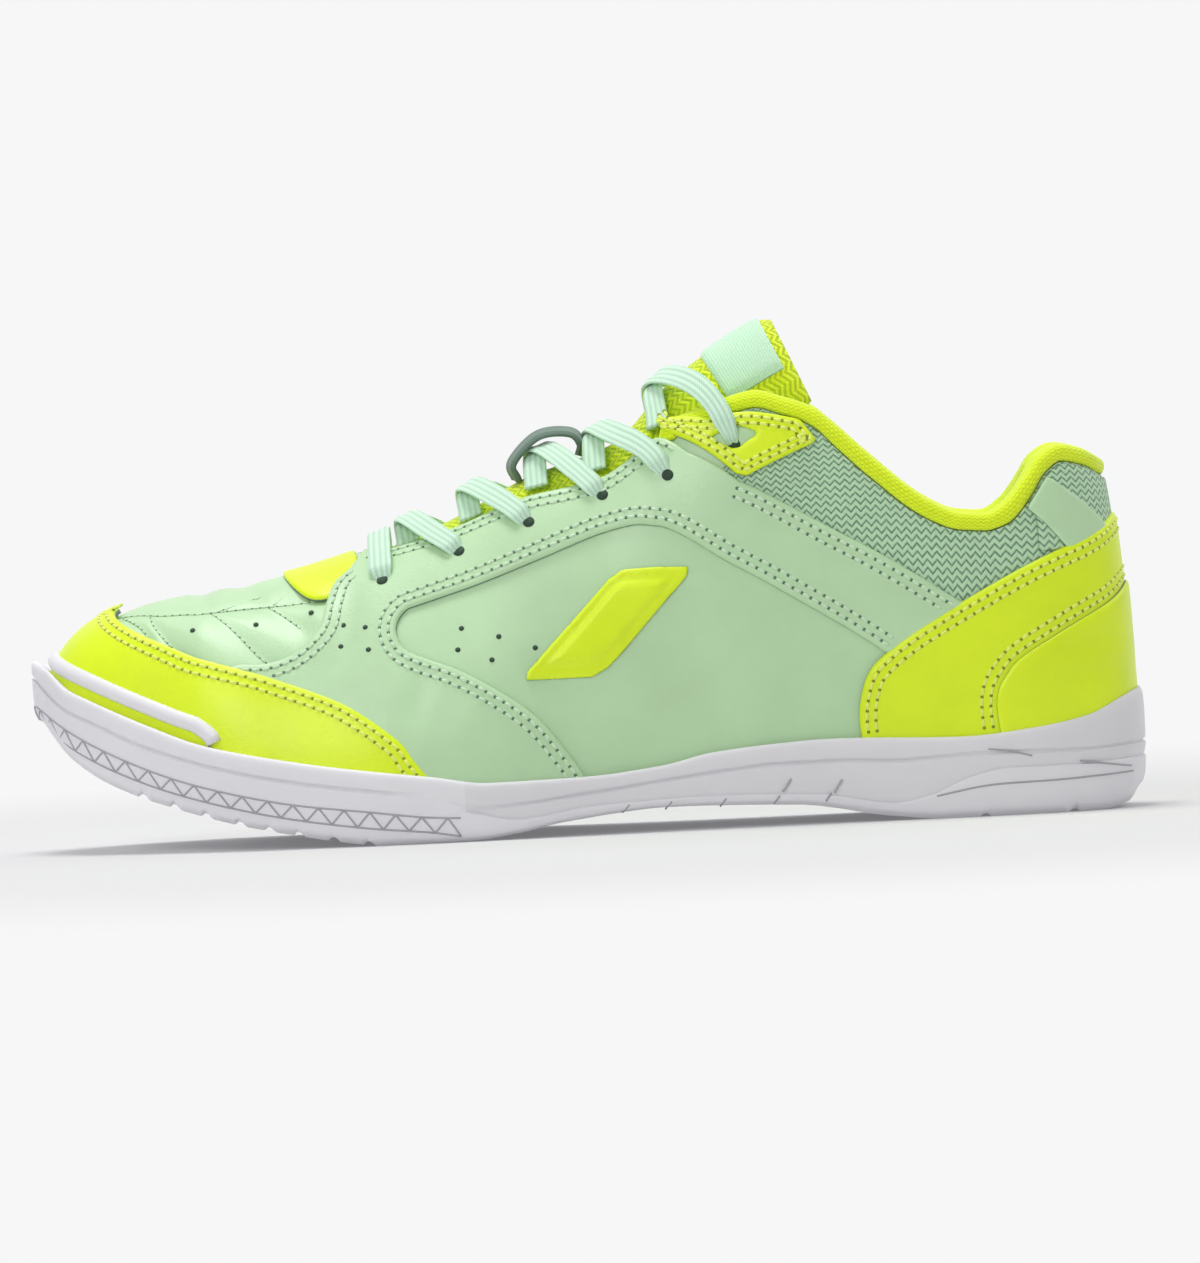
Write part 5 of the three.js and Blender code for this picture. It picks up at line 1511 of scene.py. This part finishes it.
# Padded roll round the collar
def collar_roll():
    limit = float(turn_of(ROLL_START - 0.01))
    around = np.linspace(limit, -limit, 420)
    top = top_girth(around)
    crest = last(around, top)
    along = along_of(crest[:, 0])
    pad, skirt = pad_depth(along), skirt_depth(along)
    edge_drop = crest[:, 2] - last(around, wall_edge(around))[:, 2]
    steep = np.maximum(0.15, edge_drop / (ROLL_DEPTH + FIT_GAP))
    inner = -UPPER_WALL - FIT_GAP
    one = np.ones_like(pad)
    profile = [
        (ROLL_DEPTH * one, 0.1 * one), (ROLL_DEPTH * 0.6 * one, 1.2 * one),
        (ROLL_DEPTH * 0.15 * one, 0.5 * one), (-0.1 * one, -pad * 0.3 - 0.6),
        (ROLL_DEPTH * 0.1 * one, inner - pad * 0.55), (ROLL_DEPTH * 0.9 * one, inner - pad),
        (skirt * 0.6, inner - pad * 0.8), (skirt, inner - 1.2 * one), (skirt, inner * one),
        (ROLL_DEPTH + FIT_GAP * 2 * one, inner * one), (ROLL_DEPTH * one, inner + 0.4 * one),
    ]
    drops = np.stack([row[0] for row in profile], 1)
    outs = np.stack([row[1] for row in profile], 1)
    smooth_drops, smooth_outs = smooth_rings(drops), smooth_rings(outs)
    columns = []
    for k in range(smooth_drops.shape[1]):
        height = crest[:, 2] - smooth_drops[:, k] * steep
        girth = girth_where(around, lambda p: (p[..., 2] > height[:, None]) | in_throat(p))
        girth = np.where(smooth_drops[:, k] <= 0, top, np.minimum(girth, top))
        point = last(around, girth, smooth_outs[:, k])
        point[:, 2] += np.maximum(0, -smooth_drops[:, k])
        columns.append(point)
    points = np.stack(columns, 1)
    count = points.shape[1]
    uv = np.stack(spread(run_along(crest)[:, None], run_along(points[200])[None, :]), -1)
    points = points.reshape(-1, 3)
    faces = outward_faces(points, capped_tube(len(around), count))
    piece = mesh_object("collar_padding", points, faces, uv.reshape(-1, 2))
    dress(piece, yellow_textile, "yellow_textile", "collar_lining")


def smooth_rings(values, per=5):
    """Smooths each row of values as a closed curve and gives it more columns."""
    around = np.concatenate([values[:, -1:], values, values[:, :2]], 1)
    pieces = []
    for i in range(values.shape[1]):
        corners = [around[:, i + k] for k in range(4)]
        for t in np.linspace(0, 1, per, endpoint=False):
            pieces.append(spline(*corners, t))
    return np.stack(pieces, 1)


collar_roll()


# Laces: flat tapes that leave under one edge of the throat, cross over and dive into an eyelet
LACE_FLOOR = 3.4 * FIT_GAP + 1.2 + LACE_THICKNESS / 2
LACE_TUCK = 3.0
LACE_BEND = 2.2
EYELET_RADIUS = 1.55


def eyelet_on(row, side):
    name = "lateral" if side < 0 else "medial"
    around, girth = locate([(x_of(EYELETS["along"][row]), EYELETS["up"][row] * INSTEP_HEIGHT)], name)
    return around, girth, last(around, girth)[0]


def lace_over(x, y, out, dive, pinch=0.0):
    """Tape over the throat that narrows and sinks where it dives into an eyelet."""
    path = over(x, y, out - dive * (LACE_FLOOR - 0.2))
    normals = unit(over(x, y, 1.0) - over(x, y, 0.0))
    scale = np.stack([1 - 0.35 * dive - pinch, np.ones_like(dive)], -1)
    return sweep(path, normals, tape_section(LACE_WIDTH, LACE_THICKNESS), scale)


def lace_strand(leave, from_side, row, lift):
    start_x = float(x_of(leave))
    start_y = float(ridge_y(start_x) + from_side * (throat_half(np.array(start_x)) - LACE_TUCK))
    end = eyelet_on(row, -from_side)[2]
    share = np.linspace(0, 1, 56)
    x = mix(start_x, end[0], share ** LACE_BEND)
    y = mix(start_y, end[1], share)
    out = (mix(-1.0, LACE_FLOOR, ease(0, 0.36, share))
           + lift * np.sin(math.pi * np.clip(share * 1.1, 0, 1)) ** 2)
    return lace_over(x, y, out, ease(0.955, 1.0, share), 0.1 * ease(0.75, 0.95, share))


def lace_bar():
    from_place, to_place = eyelet_on(0, -1)[2], eyelet_on(0, 1)[2]
    share = np.linspace(0, 1, 70)
    dive = ease(0.045, 0.0, share) + ease(0.955, 1.0, share)
    x, y = mix(from_place[0], to_place[0], share), mix(from_place[1], to_place[1], share)
    return lace_over(x, y, LACE_FLOOR, dive)


def laces():
    dress(joined("lace_bar_tape", [lace_bar()]), lace_tape, "lace_tape", "lace_bar")
    for i in range(len(EYELETS["along"]) - 1):
        leave = EYELETS["leave"][i]
        parts = [lace_strand(leave, -1, i + 1, 0.1), lace_strand(leave, 1, i + 1, 1.5)]
        dress(joined(f"lace_tapes_{i + 1}", parts), lace_tape, "lace_tape", f"lace_crossing_{i + 1}")


laces()


def eyelet_hole_shade():
    flats, outs = [], []
    for row in range(len(EYELETS["along"])):
        is_top = row == len(EYELETS["along"]) - 1
        for side in (-1, 1):
            around, girth, _ = eyelet_on(row, side)
            flats.append(flat_of(around, girth)[0] - [0, 0.5])
            outs.append(0.8 if is_top else OVERLAY + 0.12)
    # Eyelets: dark discs of painted shade where the laces dive in.
    spots("eyelet_hole_shade", flats, np.array(outs), EYELET_RADIUS, painted_hole_shade, "mint_leather", 20)


eyelet_hole_shade()


# Front piece of the throat, laid over the ridge
def throat_piece():
    half = [(-78.5, 0), (-78, 8), (-75.5, 15.5), (-71.5, 20.5), (-66, 21.5), (-60.5, 17), (-58.8, 10),
            (-59.3, 3)]
    loop = half + [(x, -y) for x, y in half[::-1] if y]
    outline = curve_through(np.array(loop, float), 0.8, True)

    def place(flat, out):
        base = over(flat[:, 0], flat[:, 1] + ridge_y(flat[:, 0]), 0.0)
        return over(flat[:, 0], flat[:, 1] + ridge_y(flat[:, 0]), out + relief(base))
    add_panel("throat_front_leather", outline, 1.1, yellow_leather, "yellow_leather",
              ["throat_piece"], place=place)


throat_piece()


def heel_tab():
    reach = float(turn_of(0.084))
    around = np.linspace(reach, -reach, 90)
    top_edge = flat_of(around, wall_edge(around) - 0.004)
    low = flat_of(-around, girth_at_height(-around, np.full(len(around), 0.6 * INSTEP_HEIGHT)))
    outline = closed_outline(top_edge, low)
    add_panel("heel_tab_mesh", outline, OVERLAY * 0.6, mint_mesh, "mint_mesh", ["heel_tab"])
    for side_name in SIDES:
        corners = shares_to_flat(TAB_CORNERS, side_name)
        around, _ = skin_of(corners[:1])
        corners[0] = flat_of(around, wall_edge(around) - 0.004)[0]
        around, _ = skin_of(corners[-1:])
        corners[-1] = flat_of(around, wall_edge(around) - 0.004)[0]
        add_panel("heel_tab_leather_" + side_name, soft_corners(corners, 0.06), 0.75, mint_leather,
                  "mint_leather", ["heel_tab"], base=OVERLAY * 0.6, spacing=1.2)


heel_tab()


KEEPER_WIDTH = 8.0
KEEPER_THICKNESS = 2.0


def lace_keeper():
    front, rear = KEEPER_FEET
    foot = [tongue_point(np.array(a), np.array(0.0), np.array(-0.6)) for a in (front, rear)]
    middle = (foot[0] + foot[1]) / 2
    path = curve_through(np.array([
        foot[0], foot[0] + [-1.0, -1, 4.6], middle + [-2.5, -2, 8.6], foot[1] + [-2.5, -1, 6.4],
        foot[1] + [0.6, 0, 3.2], foot[1]]), 0.8)
    ahead = np.gradient(path, axis=0)
    normals = np.stack([-ahead[:, 2], np.full(len(ahead), -0.16), ahead[:, 0]], -1)
    part = sweep(path, normals, tape_section(KEEPER_WIDTH, KEEPER_THICKNESS))
    dress(joined("lace_keeper_web", [part]), keeper_web, "grey_webbing", "lace_keeper")


lace_keeper()


def insole():
    count = 300
    around = np.linspace(0, 2, count, endpoint=False)
    edge = last(around, 0.0, -UPPER_WALL - 0.6)
    centre = np.stack([np.clip(edge[:, 0], -100, 105), ridge_y(np.clip(edge[:, 0], -100, 105))], -1)
    rings = []
    for share, lift in ((0, 0.2), (0, 3.0), (0.01, 3.5), (0.04, 3.85), (0.2, 3.85), (0.5, 3.85), (1, 3.85)):
        xy = mix(edge[:, :2], centre, share)
        rings.append(np.column_stack([xy, footbed_z(xy[:, 0]) + lift]))
    points = np.stack(rings, 1)
    uv = points[..., :2].reshape(-1, 2)
    faces = grid_faces(count, len(rings), closed_rows=True, flip=True)
    piece = mesh_object("insole_sheet", points.reshape(-1, 3), faces, uv)
    dress(piece, insole_fabric, "insole_fabric", "insole")


insole()


# Stage: white paper that takes a shadow near the shoe and glows evenly elsewhere, and soft lights
def stage():
    made = bpy.data.materials.new("stage_paper")
    made.use_nodes = True
    tree = made.node_tree
    shader = tree.nodes["Principled BSDF"]
    shader.inputs["Roughness"].default_value = 1.0
    shader.inputs["Base Color"].default_value = (0.6, 0.6, 0.605, 1)
    shader.inputs["Specular IOR Level"].default_value = 0.0
    shader.inputs["Emission Color"].default_value = (0.1, 0.1, 0.103, 1)
    shader.inputs["Emission Strength"].default_value = 1.0
    glow = node(tree, "ShaderNodeEmission", {"Color": (0.93, 0.93, 0.938, 1), "Strength": 1.0})
    oval = node(tree, "ShaderNodeVectorMath", {0: object_place(tree), 1: (2.7, 2.4, 2.4)},
                operation="MULTIPLY").outputs[0]
    away = node(tree, "ShaderNodeVectorMath", {0: oval}, operation="LENGTH").outputs["Value"]
    share = node(tree, "ShaderNodeMapRange", {"Value": away, "From Min": 0.55, "From Max": 1.25},
                 interpolation_type="SMOOTHSTEP").outputs[0]
    both = node(tree, "ShaderNodeMixShader", {0: share, 1: shader.outputs[0], 2: glow.outputs[0]})
    tree.links.new(both.outputs[0], tree.nodes["Material Output"].inputs["Surface"])
    depth = [(-6000, 0), (-900, 0), (0, 0), (900, 0), (4500, 0), (5100, 60), (5500, 260), (5700, 700),
             (5800, 8000)]
    line = curve_through(np.array(depth, float), 60)
    points = np.array([(x, y, z) for y, z in line for x in (-5000, 5000)])
    paper = mesh_object("stage_paper", points, grid_faces(len(line), 2, flip=True))
    paper.data.materials.append(made)
    world = bpy.data.worlds.new("studio")
    bpy.context.scene.world = world
    world.use_nodes = True
    world.node_tree.nodes["Background"].inputs["Color"].default_value = (1, 1, 1, 1)
    world.node_tree.nodes["Background"].inputs["Strength"].default_value = 0.46
    for name, place, size, power in (
        ("light_top", (-0.15, 0.1, 1.6), 0.6, 15), ("light_front", (-0.8, -1.6, 1.1), 0.6, 9.5),
        ("light_back", (1.1, 0.6, 0.9), 0.8, 3),
    ):
        data = bpy.data.lights.new(name, "AREA")
        data.size, data.energy = size, power
        light = bpy.data.objects.new(name, data)
        light.location = place
        light.rotation_mode = "QUATERNION"
        light.rotation_quaternion = (Vector((0, 0, 0.05)) - light.location).to_track_quat("-Z", "Y")
        bpy.context.scene.collection.objects.link(light)


stage()
bpy.context.scene.view_settings.view_transform = "Standard"
